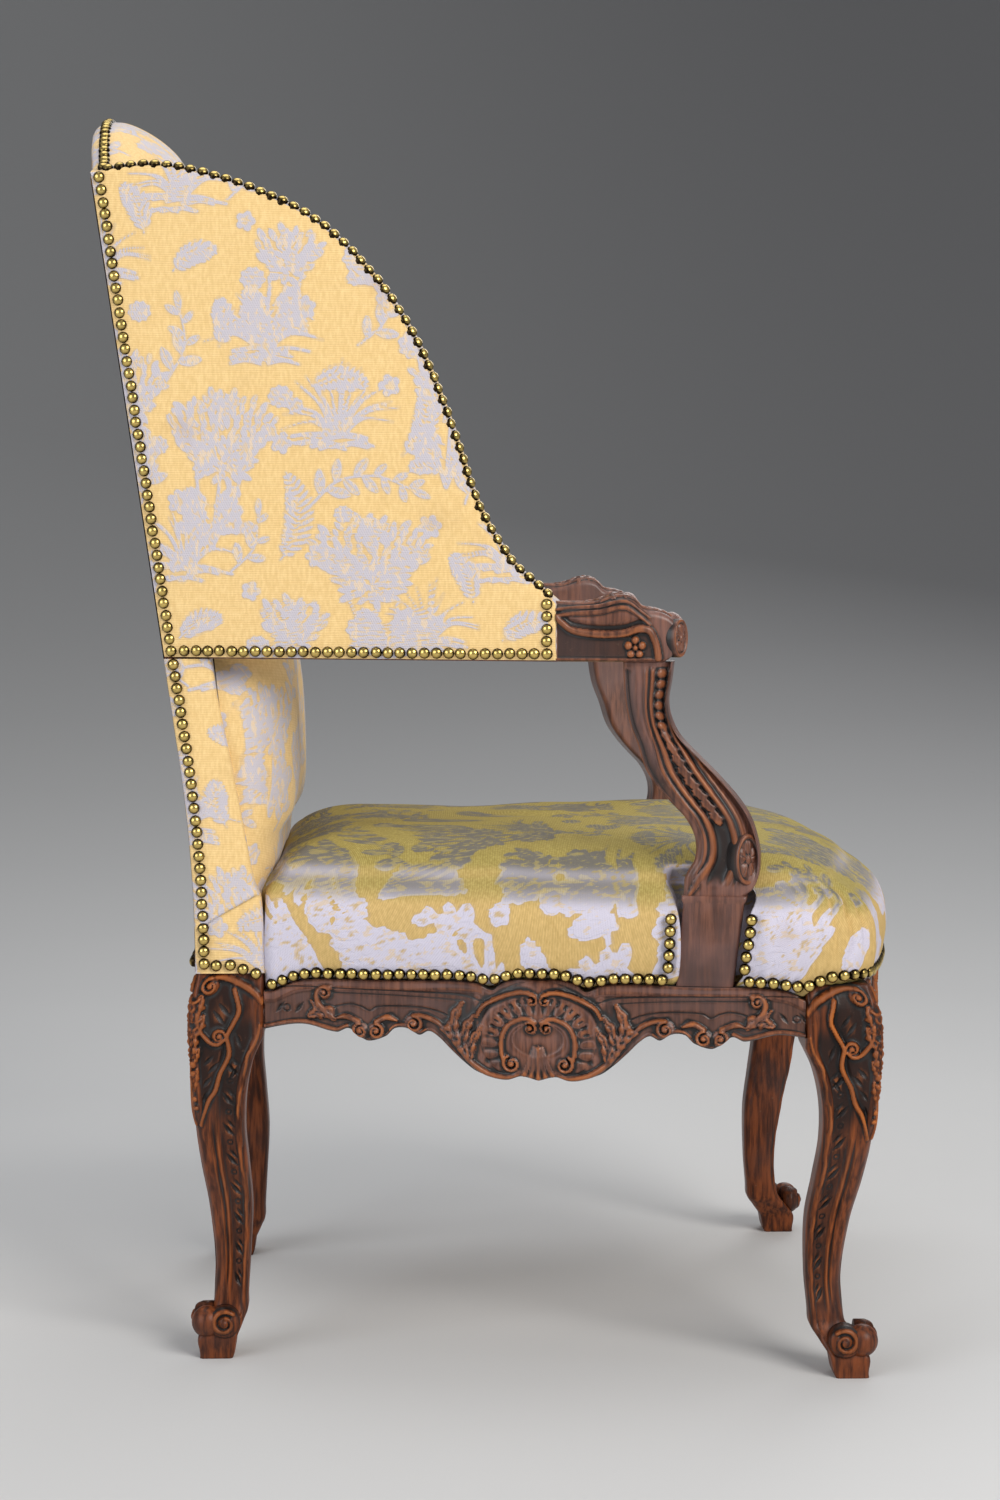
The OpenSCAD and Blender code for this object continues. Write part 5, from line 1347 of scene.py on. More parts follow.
# %% Rings of the seat
def seat_rings():
    """Rings middle + k (outline - middle), with their flat places, k, z and the lowest outline.

    The flat place beyond the rim is the rim's, moved outwards by the length of the cloth below it.
    """
    (low_notch, low_plain), (high_notch, high_plain) = seat_outline(NOTCH_REACH), seat_outline(55.0)
    profile = even(flow([[k * SEAT_SIDE, h * 140] for k, h in SEAT_PROFILE], 12), 142)
    k, z = (profile[:, 0] / SEAT_SIDE)[:, None], 383 + profile[:, 1][:, None]
    k = np.maximum(k, 0.004)
    lean = 0.35 * np.clip((z - 383) / 85, 0, 1) + 0.65 * step(z, 452, 478)
    notched = mix(low_notch[None], high_notch[None], lean[..., None])
    plain = mix(low_plain[None], high_plain[None], lean[..., None])
    held = step(k, 0.86, 0.955)
    x = mix(plain[..., 0], notched[..., 0], held)
    y0 = mix(plain[..., 1], notched[..., 1], held)
    back = np.clip((y0 - 150) / 70, 0, 1)
    s = mix(k, np.minimum(k, 1) ** 0.6, back)
    grid = np.stack([x * k, SEAT_MIDDLE + (y0 - SEAT_MIDDLE) * s, z + 0 * x], -1)
    flat = np.stack([plain[..., 0] * k, SEAT_MIDDLE + (plain[..., 1] - SEAT_MIDDLE) * k], -1)
    rim = int(np.argmax(k[:, 0] > 0.97))
    drop = run_length(grid, 0)
    out = flat[rim] - np.array([0, SEAT_MIDDLE])
    out /= np.linalg.norm(out, axis=-1, keepdims=True)
    beyond = np.maximum(drop - drop[rim], 0)
    flat = np.where(np.arange(len(k))[:, None, None] > rim, flat[rim] + out * beyond[..., None], flat)
    return grid, flat, k, z, low_plain


# %% Signs of use and of nailing
def seat_slack(grid, flat, z, around):
    """Height over the rings: the sitter's hollow, slack, a pull at each nail, corner folds, drag lines."""
    x, y = np.abs(grid[..., 0]), grid[..., 1]
    press = -4.5 * np.exp(-((x / 150) ** 2) - ((y + 20) / 160) ** 2)
    slack = 2.2 * ripple(flat[..., 0], flat[..., 1], 3, 210) * step(z, 384, 402)
    pull = 1.1 * np.cos(around * 2 * np.pi / NAIL_PITCH) * bump(z, 392, 9.0) * step(z, 386, 390)
    corner = np.exp(-(((x - 290) / 30) ** 2) - ((y + 330) / 34) ** 2)
    fold = -5.0 * corner * np.cos(around / 5.2) ** 8 * step(z, 402, 426) * (1 - step(z, 470, 500))
    mouth = np.abs(x - 268) < 45
    near = np.minimum(np.abs(y - (SUPPORT_Y - 46)), np.abs(y - (SUPPORT_Y + 36)))
    drag = -3.4 * bump(near, 0, 8.0) * mouth * (1 - step(z, 440, 492)) * step(z, 388, 400)
    return press + slack + pull + fold + drag


def seat():
    """The domed seat: its rings moved along their normals, and its hem laid on the rails' moulding."""
    grid, flat, k, z, foot_line = seat_rings()
    around = run_length(np.concatenate([foot_line, foot_line[:1]])[:, None], 0)[:-1, 0]
    n = normals(grid, True)
    n *= np.sign(n[len(k) // 2, :, 2].mean())
    lift = seat_slack(grid, flat, z, around[None]) * step(k, 0.0, 0.1)
    grid = grid + n * lift[..., None]
    crown = rolled_mean(crown_below(foot_line), 3)
    grid[..., 2] += (crown - 4.0) * (1 - step(z, 386, 418))
    return grid, flat


# %% The seat's cover
seat_grid, seat_flat = seat()
# How level the seat's cloth lies; its material paints the level top with painted shade and sheen.
seat_level = np.abs(normals(seat_grid, True)[..., 2])
seat_cover = cloth("seat_upholstery", seat_grid, seat_flat, (40, 60), (0, 0, 1), True, level=seat_level)
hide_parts("seat_cover", "seat_stuffing")
print("seat points:", seat_grid.shape[:2])

# %% [markdown]
# ## Inside of the back
#
# The inside of the back is a firm pad. It stands forward of the raked line by $46 + 74\,w(z)\,D(u)$ and
# rolls over the crest to the rear. Each column of the grid is one line of cloth from the seat to the nails
# behind the crest, spaced evenly along its length, so the pattern isn't squeezed where the cloth turns.

# %% Profile and crest of the back
BACK_SWELL = [
    [383, 0.2], [453, 0.3], [495, 0.52], [540, 0.76], [610, 0.94], [693, 1], [803, 0.97], [953, 0.84],
    [1103, 0.63], [1183, 0.48], [1232, 0.35],
]
CREST = [[0, 1], [0.25, 0.96], [0.5, 0.79], [0.72, 0.46], [0.88, 0.16], [1, 0]]
ROLL_RISE = 42.0


def crest_z(x):
    """Height of the upper edge of the back at x."""
    return SHOULDER + 3 + (HEIGHT - SHOULDER - 3) * keyed(CREST, np.abs(x) / POST_X)


# %% One line of cloth up the back
def back_column(share):
    """Line of cloth at a share of the half width: up the pad, over the roll and down behind the crest."""
    top = float(crest_z(share * POST_X * 0.995))
    roll_foot = top - ROLL_RISE
    z = np.linspace(405, roll_foot, 90)
    half = 211 - 23 * step(z, 655, 705) + 25 * step(z, 1150, 1172)
    dome = (1 - np.abs(share) ** 5) ** 0.55
    deep = 46.4 + 74 * keyed(BACK_SWELL, z) * dome
    front = np.stack([share * half, back_line(z) - deep, z], 1)
    y_top = float(back_line(top))
    y_roll = float(back_line(roll_foot)) - deep[-1]
    roll = max(y_top - 26 - y_roll, 12.0)
    turn = np.linspace(0.08, np.pi / 2, 16)
    slope = ROLL_RISE * np.sin(turn) ** 1.5
    wide = share * mix(half[-1], 213.4, step(slope, 4, 34))
    over = np.stack([wide, y_roll + roll * (1 - np.cos(turn) ** 1.5), roll_foot + slope], 1)
    edge = wide[-1]
    mid = np.array([[edge, y_top - 17, top + 0.3], [edge, y_top - 11, top - 1.0]])
    turn = np.linspace(0.3, np.pi / 2, 7)
    rear = np.stack([0 * turn + edge, y_top - 11 + 11.5 * np.sin(turn), top - 12 + 11 * np.cos(turn)], 1)
    end = np.array([[edge, float(back_line(top - 22)) + 0.6, top - 22]])
    return even(np.vstack([front, over, mid, rear, end]), 318)


# %% The whole pad
def back_pad():
    """All the lines of cloth side by side, closed at the ends of the roll, with slack along the normals."""
    u = np.linspace(-1, 1, 172)
    grid = np.transpose(np.array([back_column(share) for share in u]), (1, 0, 2))
    # Ends of the roll, closed towards a point inside them
    core = np.array([0, float(back_line(SHOULDER)) - 14, SHOULDER - 8])
    share = np.array([1.0, 0.66, 0.33])[:, None]
    for side, edge in ((0, grid[:, 0]), (-1, grid[:, -1])):
        heart = np.where((edge[:, 2] > SHOULDER - 26)[:, None], core * [0, 1, 1] + edge * [1, 0, 0], edge)
        more = mix(edge[:, None], heart[:, None], share[None])
        grid = np.concatenate([more, grid] if side == 0 else [grid, more[:, ::-1]], axis=1)
    grid = smoothed(grid, 2)
    up = run_length(grid, 0)
    middle = grid.shape[1] // 2
    across = run_length(grid, 1)
    across = across - across[:, middle : middle + 1]
    flat = np.stack([across, up], -1)
    n = normals(grid)
    n *= -np.sign(n[120, middle, 1])
    z = grid[..., 2]
    edge = 1 - np.concatenate([[1.0] * 3, np.abs(u), [1.0] * 3])[None] ** 6
    slack = 2.0 * ripple(flat[..., 0], flat[..., 1], 8, 230) * edge
    seam = -1.8 * bump(np.abs(grid[..., 0]), 186, 7) * step(z, 700, 760) * (1 - step(z, 1130, 1165))
    seat_line = -6.0 * np.exp(-(((z - 515) / 16) ** 2)) * edge
    worn = -2.4 * np.exp(-(((z - 610) / 60) ** 2) - (grid[..., 0] / 120) ** 2)
    pull = 0.9 * np.cos(flat[..., 0] * 2 * np.pi / NAIL_PITCH) * step(up, up.max() - 34, up.max() - 12)
    return grid + n * ((slack + seam + seat_line + worn + pull)[..., None]), flat


# %% The back's inside cover
back_grid, back_flat = back_pad()
back_cover = cloth("back_upholstery", back_grid, back_flat, (160, 30), (0, -1, 0))
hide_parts("back_inside_cover", "back_stuffing")
print("back points:", back_grid.shape[:2])

# %% [markdown]
# ## Outside of the back, and the posts below the arms
#
# These are plain stretched cloths with little under them, so a flat or bent strip with a slight belly is
# enough. Their flat coordinates are the run along the surface.


# %% Outside of the back
def outside_back():
    """Cloth on the rear face, from the rear rail to the crest: the back line with a slight belly."""
    u = np.linspace(-1, 1, 176)
    t = np.linspace(0, 1, 310)[:, None]
    top = crest_z(u * (POST_X - 1)) - 9
    z = mix(389.0, top[None], t)
    x = u[None] * (POST_X - 0.6) + 0 * z
    edge = (1 - np.abs(u) ** 8)[None] * (1 - np.abs(2 * t - 1) ** 10)
    y = back_line(z) + 1.0 + 2.2 * edge + 0.8 * edge * ripple(x, z, 5, 260)
    grid = np.stack([x, y, z], -1)
    return grid, np.stack([x, z], -1)


outside_grid, outside_flat = outside_back()
outside_cover = cloth("back_outside_cloth", outside_grid, outside_flat, (90, 200), (0, 1, 0))
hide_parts("back_outside_cover")
print("outside back points:", outside_grid.shape[:2])


# %% Posts below the arms
def post_bend(level):
    """Line of cloth round the outer side of a post at a level, from inside its front corner to its rear."""
    rear = float(back_line(level))
    front = rear - float(post_deep(level))
    bend = [
        [-192, front - 1.2], [-212, front - 1.6], [-215.8, front - 0.6], [-217.2, front + 3.5],
        [-217.4, (front + rear) / 2], [-217.0, rear - 3.5], [-215.6, rear + 0.2], [-213, rear + 1.0],
    ]
    return np.concatenate([even(flow(bend, 5), 40), np.full((40, 1), level)], axis=1)


def post_cloth():
    """Post cloth below the arm, its flat places, and the places that the pattern is drawn at.

    Below a slanting hem the seat's cloth goes on to the rear, so the pattern is moved there.
    """
    grid = np.array([post_bend(level) for level in np.linspace(387, ARM_UNDER - 0.5, 240)])
    flat = np.stack([run_length(grid, 1), grid[..., 2]], -1)
    rear = back_line(grid[..., 2])
    over = grid[..., 2] - mix(464.0, 430.0, np.clip((grid[..., 1] - rear + 60) / 60, 0, 1))
    outer = step(-grid[..., 0], 213, 216.5)
    grid[..., 0] -= outer * (1.7 * step(over, -0.8, 0.8) + 0.9 * bump(over, 3.0, 2.6) - 0.6)
    grid[..., 0] -= outer * 0.8 * ripple(flat[..., 0], flat[..., 1], 17, 120)
    drawn = flat + np.where((over < 0)[..., None], [137.0, 61.0], 0.0)
    return grid, flat, drawn


post_grid, post_flat, post_drawn = post_cloth()
post_piece = cloth("post_cloth_right", post_grid, post_drawn, (20, 120), (-1, 0, 0))
post_cloths = both_sides(post_piece, "post_cover")
print("post cloth points:", post_grid.shape[:2])

# %% [markdown]
# ## Wings
#
# A wing has a pad inside and a plain cloth outside, in a plane turned out by the splay and leaned back a
# little. It is drawn flat in that plane and stood up at the end. Its cloth is ruled between the sweep of
# its front edge and the line of its foot and rear, so the rows fan out from the corner.

# %% Plane and sweep of a wing
WING_RUN = (WING_ROOT_Y - WING_FRONT_Y) / math.cos(WING_SPLAY)
WING_DRIFT = (float(back_line(SHOULDER)) - WING_ROOT_Y) * math.sin(WING_SPLAY)
WING_LEAN = math.atan(WING_DRIFT / (SHOULDER - ARM_UNDER))
WING_POINTS = 268
WING_KEYS = [
    [0, 0], [0.055, 0.05], [0.102, 0.1], [0.17, 0.227], [0.23, 0.417], [0.298, 0.595], [0.386, 0.744],
    [0.514, 0.88], [0.68, 0.966], [0.85, 1.012], [1, 1],
]


def in_chair(p):
    """Points of the right wing's frame (forward from its root, inwards, up) to the chair's."""
    p = np.asarray(p, float)
    x, y, z = p[..., 0], p[..., 1], p[..., 2]
    cosine, sine = math.cos(WING_LEAN), math.sin(WING_LEAN)
    y, z = y * cosine - z * sine, y * sine + z * cosine
    turn = -math.pi / 2 - WING_SPLAY
    across, along = x * math.cos(turn) - y * math.sin(turn), x * math.sin(turn) + y * math.cos(turn)
    return np.stack([-POST_X + across, WING_ROOT_Y + along, ARM_UNDER + z], -1)


def on_wing(y, z):
    """The wing's own two coordinates of a point that lies on its outer face."""
    rise = z - ARM_UNDER
    forward = WING_ROOT_Y - y + math.sin(WING_SPLAY) * math.sin(WING_LEAN) * rise
    return np.array([forward / math.cos(WING_SPLAY), rise / math.cos(WING_LEAN)])


def wing_sweep():
    """Front edge of a wing from the foot to the top, in its own frame."""
    rear = float(back_line(SHOULDER))
    sweep = [on_wing(mix(WING_FRONT_Y, rear, p), mix(ARM_TOP, SHOULDER, q)) for p, q in WING_KEYS]
    return flow(sweep, 10)


def wing_line(count, lift):
    """The sweep with the upright front below it, as evenly spaced points and their outward normals."""
    sweep = wing_sweep()
    line = np.vstack([[sweep[0][0], lift], [sweep[0][0], ARM_HEIGHT * 0.5], sweep])
    line = even(line, count)
    d = np.gradient(line, axis=0)
    n = np.stack([d[:, 1], -d[:, 0]], 1)
    n /= np.linalg.norm(n, axis=1, keepdims=True)
    for _ in range(3):
        n[1:-1] = (n[:-2] + 2 * n[1:-1] + n[2:]) / 4
    return line, n / np.linalg.norm(n, axis=1, keepdims=True)


def wing_rear(z):
    """Where the back's rear face crosses the wing at height z above the arm's underside."""
    return on_wing(back_line(z + ARM_UNDER), z + ARM_UNDER)[0]


def ruled_base(line, corner, top_rear):
    """Shares t along the front edge, and the points opposite it: along the foot, then up the rear line."""
    run = run_length(line[:, None], 0)[:, 0]
    t = run / run[-1]
    along_foot = mix(line[0], corner, step(t / 0.5, 0, 1)[:, None])
    return t, np.where((t < 0.5)[:, None], along_foot, mix(corner, top_rear, ((t - 0.5) / 0.5)[:, None]))


# %% Inside of a wing
def wing_inside():
    """Inside pad of a wing, 24.5 + 17 (1 - s^7)^0.6 over its plane, and its roll over the rail."""
    line, n = wing_line(WING_POINTS, 3.0)
    corner = np.array([float(wing_rear(3.0)) + 26, 3.0])
    top_rear = np.array([float(wing_rear(line[-1, 1])) + 4, line[-1, 1] - 4])
    t, base = ruled_base(line, corner, top_rear)
    run = run_length(line[:, None], 0)[:, 0]
    s = (np.linspace(0, 1, 132) ** 0.85)[:, None, None]
    roll_start = (line - n * 7.0)[None]
    inner = mix(base[None], roll_start, s)
    rise = (1 - s[..., 0] ** 7) ** 0.6
    foot = step(inner[..., 1], -2, 34)
    ripples = ripple(inner[..., 0], inner[..., 1], 21, 190)
    height = 24.5 + 17 * rise * (0.35 + 0.65 * foot) + 1.5 * ripples * rise
    welt = -1.6 * np.exp(-(((s[..., 0] - 0.93) / 0.02) ** 2)) * step(t, 0.08, 0.16)[None]
    inside = np.concatenate([inner[..., :1], (height + welt)[..., None], inner[..., 1:]], axis=-1)
    turn = np.linspace(0, 1, 26)[:, None]
    out = 7.0 * np.sin(np.clip(turn / 0.35, 0, 1) * np.pi / 2) + 2.6 * np.sin(np.pi * turn)
    deep = np.where(turn < 0.35, mix(24.5, 17.0, (turn / 0.35) ** 2), mix(17.0, -0.4, (turn - 0.35) / 0.65))
    rim_xy = roll_start + n[None] * out[..., None]
    pull = 0.7 * np.cos(run[None] * 2 * np.pi / NAIL_PITCH) * bump(turn, 0.72, 0.2)
    rim_xy = rim_xy + n[None] * pull[..., None]
    rim = np.stack([rim_xy[..., 0], deep + 0 * rim_xy[..., 0], rim_xy[..., 1]], -1)
    grid = np.concatenate([inside, rim[1:]])
    beyond = run_length(rim, 0)[1:]
    flat = np.concatenate([inner, roll_start + n[None] * beyond[..., None]])
    return in_chair(grid), flat, line, n


wing_grid, wing_flat, wing_edge, wing_normal = wing_inside()
wing_piece = cloth("wing_upholstery_right", wing_grid, wing_flat, (210, 140), (1, 0, 0))
wing_pads = both_sides(wing_piece, "wing_inside_cover", "wing_stuffing")
print("wing points:", wing_grid.shape[:2])


# %% Outside of a wing
def wing_outside():
    """Outside cloth of a wing: its plane with a belly of 2.4 mm, and its edge turned under the roll."""
    line, _ = wing_line(WING_POINTS, 1.5)
    top_rear = np.array([float(wing_rear(line[-1, 1])) + 0.5, line[-1, 1] - 2])
    t, base = ruled_base(line, np.array([0.5, 1.5]), top_rear)
    rear = wing_rear(np.clip(base[:, 1], 0, 460))
    base[:, 0] = np.where(t >= 0.5, rear + 0.4, base[:, 0])
    s = np.linspace(0, 1, 150)[:, None, None]
    plane = mix(base[None], line[None], s)
    edge = (1 - np.abs(2 * s[..., 0] - 1) ** 8) * np.sin(np.pi * np.clip(t, 0.001, 0.999))[None] ** 0.3
    deep = -0.6 - 2.4 * edge - 0.7 * edge * ripple(plane[..., 0], plane[..., 1], 31, 220)
    grid = np.concatenate([plane[..., :1], deep[..., None], plane[..., 1:]], axis=-1)
    return in_chair(grid), plane


out_grid, out_flat = wing_outside()
wing_piece = cloth("wing_cloth_right", out_grid, out_flat, (0, 0), (-1, 0, 0))
wing_cloths = both_sides(wing_piece, "wing_outside_cover")

# %% [markdown]
# ## The covers
#
# The four stuffed covers and the five plain sheets that their nails hold are gathered in lists. A sheet's
# flat size is that of its flat coordinates.

# %% Covers and sheets
cloths = [seat_cover, back_cover, outside_cover, *post_cloths, *wing_pads, *wing_cloths]
sheets = [(outside_cover, outside_grid, outside_flat)]
sheets += [(piece, post_grid, post_flat) for piece in post_cloths]
sheets += [(piece, out_grid, out_flat) for piece in wing_cloths]
for piece, grid, flat in sheets:
    width, length = (np.ptp(flat.reshape(-1, 2), axis=0) / 1000).tolist()
    min(surface_area(grid), width * length)
print("upholstery points:", sum(len(c.data.vertices) for c in cloths))

# %% [markdown]
# ## Brass nails
#
# Close rows of domed nails hold the covers. A nail is a dome $h(r) = H\sqrt{1 - (r / R)^2}$ of a few dozen
# faces, because there are hundreds. A row is a line of places and outward normals, resampled at the pitch.
# Instances of one nail would be lighter, but in one mesh every dome can have its own small tilt.

# %% Size of a nail
NAIL_RADIUS = 5.8
NAIL_RISE = 4.6
NAIL_SINK = 3.2  # how far the lowest ring is pushed into the cloth
NAIL_SIDES = 12
NAIL_RINGS = [0, 18, 38, 60, 78]  # degrees up the dome
NAIL_POINTS = NAIL_SIDES * len(NAIL_RINGS) + 1


# %% Rows and domes
def spaced(line, outward, pitch=NAIL_PITCH):
    """Places at the pitch along a line, with the normals interpolated."""
    line, outward = np.asarray(line, float), np.asarray(outward, float)
    outward = np.broadcast_to(outward, line.shape)
    run = run_length(line[:, None], 0)[:, 0]
    s = np.linspace(0, run[-1], int(round(run[-1] / pitch)) + 1)
    at = [np.stack([np.interp(s, run, v[:, j]) for j in range(3)], 1) for v in (line, outward)]
    return at[0], at[1] / np.linalg.norm(at[1], axis=1, keepdims=True)


def one_dome():
    """Points of a nail about its own axis, rings first and the top last, and their heights."""
    v = np.radians(NAIL_RINGS)
    u = np.arange(NAIL_SIDES) * 2 * np.pi / NAIL_SIDES
    r, h = NAIL_RADIUS * np.cos(v), NAIL_RISE * np.sin(v)
    x, y, z = r[:, None] * np.cos(u), r[:, None] * np.sin(u), h[:, None] + 0 * u
    x, y, z = np.append(x, 0), np.append(y, 0), np.append(z, NAIL_RISE)
    height = z.copy()
    z[:NAIL_SIDES] -= NAIL_SINK
    return x, y, z, height


def dome_rows(name, rows):
    """All the nails of some rows as one mesh: place + x across + y up + z outward for every dome."""
    places = np.vstack([r[0] for r in rows])
    outward = np.vstack([r[1] for r in rows])
    rng = np.random.default_rng(5)
    outward = outward + rng.normal(0, 0.05, outward.shape)
    outward /= np.linalg.norm(outward, axis=1, keepdims=True)
    places = places + rng.normal(0, 0.25, places.shape)
    helper = np.where(np.abs(outward[:, 2:]) < 0.9, [[0, 0, 1.0]], [[1.0, 0, 0]])
    across = np.cross(helper, outward)
    across /= np.linalg.norm(across, axis=1, keepdims=True)
    up = np.cross(outward, across)
    x, y, z, height = one_dome()
    cloud = places[:, None] + x[:, None] * across[:, None] + y[:, None] * up[:, None]
    cloud = cloud + z[:, None] * outward[:, None]
    ring = quads(len(NAIL_RINGS), NAIL_SIDES, True)
    j = np.arange(NAIL_SIDES)
    last = NAIL_POINTS - 1 - NAIL_SIDES
    cap = np.stack([last + j, last + (j + 1) % NAIL_SIDES, np.full(NAIL_SIDES, NAIL_POINTS - 1)], 1)
    start = (np.arange(len(places)) * NAIL_POINTS)[:, None, None]
    faces = [(ring + start).reshape(-1, 4), (cap + start).reshape(-1, 3)]
    made = make_mesh(name, cloud, faces, {"relief": np.tile(height, len(places))})
    print(name, len(places))
    return made


def mirror_row(row):
    """The same row on the other side."""
    return row[0] * [-1, 1, 1], row[1] * [-1, 1, 1]


# %% [markdown]
# ## Rows on the back and the wings
#
# The outer cloths are nailed all round. A row on a wing is laid out flat in the wing's own plane, as its
# cloth is, and stood up with it.


# %% Rows on the back and the wings
def post_rows():
    """Row up the rear edge of the post below the arm, and the row along the hem behind the seat."""
    z = np.linspace(RAIL_TOP + 14, ARM_UNDER - 6, 60)
    upright = spaced(np.stack([0 * z - 218.2, back_line(z) - 8, z], 1), [-1, 0, 0])
    y = np.linspace(SIDE_START[1] + 7, float(back_line(396)) - 20, 20)
    hem = 395 - 9.0 * (1 - step(y, y[0], y[0] + 24))
    return upright, spaced(np.stack([0 * y - 217.4, y, hem], 1), [-1, 0, 0])


def wing_rows():
    """Rows round the outside of a wing: rear edge, foot, upright front, and the sweep under the roll."""
    origin = in_chair([0, 0, 0])
    outer = in_chair([0, -1, 0]) - origin
    up = np.linspace(7, wing_edge[-1, 1] - 5, 60)
    rear = np.array([float(wing_rear(v)) for v in up]) + 8.5
    front = WING_RUN - 8
    keep = (wing_edge[:, 1] > ARM_HEIGHT + 6) & (np.arange(len(wing_edge)) < len(wing_edge) - 6)
    away = wing_normal[keep]
    rim = wing_edge[keep] + away * 1.6
    sweep = np.stack([rim[:, 0], 0 * rim[:, 0] + 3.6, rim[:, 1]], 1)
    tilt = np.stack([away[:, 0], 0 * rim[:, 0] - 0.45, away[:, 1]], 1)
    return [
        spaced(in_chair(np.stack([rear, 0 * up - 1.2, up], 1)), outer),
        spaced(in_chair([[20.3, -1.0, 7.5], [front, -1.0, 7.5]]), outer),
        spaced(in_chair([[front, -1.0, 19.3], [front, -1.0, 55]]), outer),
        spaced(in_chair(sweep), in_chair(tilt) - origin),
    ]


def crest_row():
    """Row along the rear edge of the crest, square to its arch."""
    x = np.linspace(-POST_X + 7, POST_X - 7, 120)
    arch = np.stack([x, back_line(crest_z(x)) - 12.5, crest_z(x) - 0.4], 1)
    return spaced(arch, np.stack([-np.gradient(arch[:, 2], x), 0 * x + 0.12, 0 * x + 1], 1))


def lower_row():
    """Row along the lower edge of the outside back."""
    x = np.linspace(8 - POST_X, POST_X - 8, 40)
    height = RAIL_TOP + 15
    return spaced(np.stack([x, 0 * x + back_line(height) + 2.4, 0 * x + height], 1), [0, 1, 0])


# %% [markdown]
# ## Rows round the seat
#
# The seat's nails follow the rails and step up over the blocks of the front legs. They are found on the
# seat's own grid, and each is then moved out to the highest point of the cloth round it.

# %% Height of the nails round the seat
seat_hem = seat_grid[-1]


def near_knee(margin):
    """Columns of the seat that stand over a front leg, within a margin."""
    return (np.abs(seat_hem[:, 0]) > KNEE_X - BLOCK - margin) & (seat_hem[:, 1] < KNEE_Y + BLOCK + margin)


nail_height = seat_hem[:, 2] + 5.6 + rolled_mean(np.where(near_knee(0), 5.0, 0.0), 10)
nail_height = np.where(near_knee(14), rolled_mean(nail_height, 36), nail_height)
print("seat nails stand from", round(float(nail_height.min())), "to", round(float(nail_height.max())), "mm")


# %% Rows round the seat
LOW_SEAT = seat_grid[95:]


def proud(places, outward):
    """Moves each nail out to the highest point of the cloth within 5 mm of its axis."""
    away = LOW_SEAT.reshape(-1, 3)[None] - places[:, None]
    along = (away * outward[:, None]).sum(-1)
    aside = (away**2).sum(-1) - along**2
    highest = np.where((aside < 5**2) & (np.abs(along) < 14), along, -9).max(1)
    return places + outward * np.clip(highest + 0.8, 0, 9)[:, None], outward


def seat_row(first, last):
    """Row of nails from one column of the seat to another, square to the line that they follow."""
    line = LOW_SEAT[:, first : last + 1]
    height = nail_height[first : last + 1]
    at = np.argmin(np.abs(line[..., 2] - height), axis=0)
    places = np.column_stack([line[at, np.arange(len(height)), :2], height])
    for _ in range(4):
        places[1:-1] = (places[:-2] + 2 * places[1:-1] + places[2:]) / 4
    along = np.gradient(places, axis=0)
    outward = np.column_stack([along[:, 1], -along[:, 0], 0 * height])
    outward *= np.sign((outward * (places - [0, SEAT_MIDDLE, 0])).sum(1))[:, None]
    outward /= np.linalg.norm(outward, axis=1, keepdims=True)
    outward[:, 2] = -0.1
    return proud(*spaced(places + outward * 1.6, outward))


def support_rows():
    """Five nails up each side of a support, on the cloth that turns in beside it."""
    heights = RAIL_TOP + 7 + np.arange(1, 6) * NAIL_PITCH
    outward = on_side(0, -1, 0) - on_side(0, 0, 0)
    rows = []
    for aside, lean in ((NOTCH_REACH + 6.2, 0.14), (-NOTCH_REACH - 6.4, 0.05)):
        run = SUPPORT_X + aside + lean * (heights - RAIL_TOP)
        base = on_side(run, -8.5 + 0.02 * (heights - 400), heights)
        rows.append((base, np.broadcast_to(outward, base.shape)))
    return rows


# %% All the nails
NOTCH_END = FRONT_POINTS + NOTCH_POINTS
seat_rows = [seat_row(1, FRONT_POINTS - 4), seat_row(NOTCH_END + 1, NOTCH_END + 79), *support_rows()]
seat_rows = [row if row[0][0, 0] < 0 else mirror_row(row) for row in seat_rows]
right_rows = [*post_rows(), *wing_rows(), *seat_rows]
nails = [
    dome_rows("nails_right", right_rows),
    dome_rows("nails_left", [mirror_row(row) for row in right_rows]),
    dome_rows("nails_crest", [crest_row()]),
    dome_rows("nails_rear", [lower_row()]),
]

# %% [markdown]
# ## Shader arithmetic
#
# A finish is a formula over the surface, and wiring one by hand takes dozens of nodes. So a `Signal` wraps
# one output of a node, and arithmetic on signals makes the nodes that do it. Colours go through `blend`,
# because a Math node would turn them grey.


# %% Signals
class Signal:
    """A shader value that obeys Python's arithmetic."""

    def __init__(self, finish, socket):
        self.finish, self.socket = finish, socket

    def math(self, operation, *values):
        """One Math node over the values in their order; each is a signal or a number."""
        node = self.finish.node("ShaderNodeMath", dict(enumerate(values)), operation=operation)
        return Signal(self.finish, node.outputs[0])

    def __add__(self, other):
        return self.math("ADD", self, other)

    def __sub__(self, other):
        return self.math("SUBTRACT", self, other)

    def __rsub__(self, other):
        return self.math("SUBTRACT", other, self)

    def __mul__(self, other):
        return self.math("MULTIPLY", self, other)

    def __neg__(self):
        return self.math("MULTIPLY", self, -1)

    def __abs__(self):
        return self.math("ABSOLUTE", self)

    __radd__ = __add__
    __rmul__ = __mul__

    def sine(self):
        """Sine of the signal, in radians."""
        return self.math("SINE", self)

    def smooth(self, low, high):
        """Smooth step from 0 at low to 1 at high."""
        span = {"Value": self, "From Min": low, "From Max": high}
        node = self.finish.node("ShaderNodeMapRange", span, interpolation_type="SMOOTHSTEP")
        return Signal(self.finish, node.outputs["Result"])


# %% Colours and materials
def rgb(red, green, blue):
    """Linear colour from the 0 to 255 values of a screen: ((v + 0.055) / 1.055)^2.4"""
    v = np.array([red, green, blue]) / 255
    linear = np.where(v <= 0.04045, v / 12.92, ((v + 0.055) / 1.055) ** 2.4)
    return (*linear, 1.0)


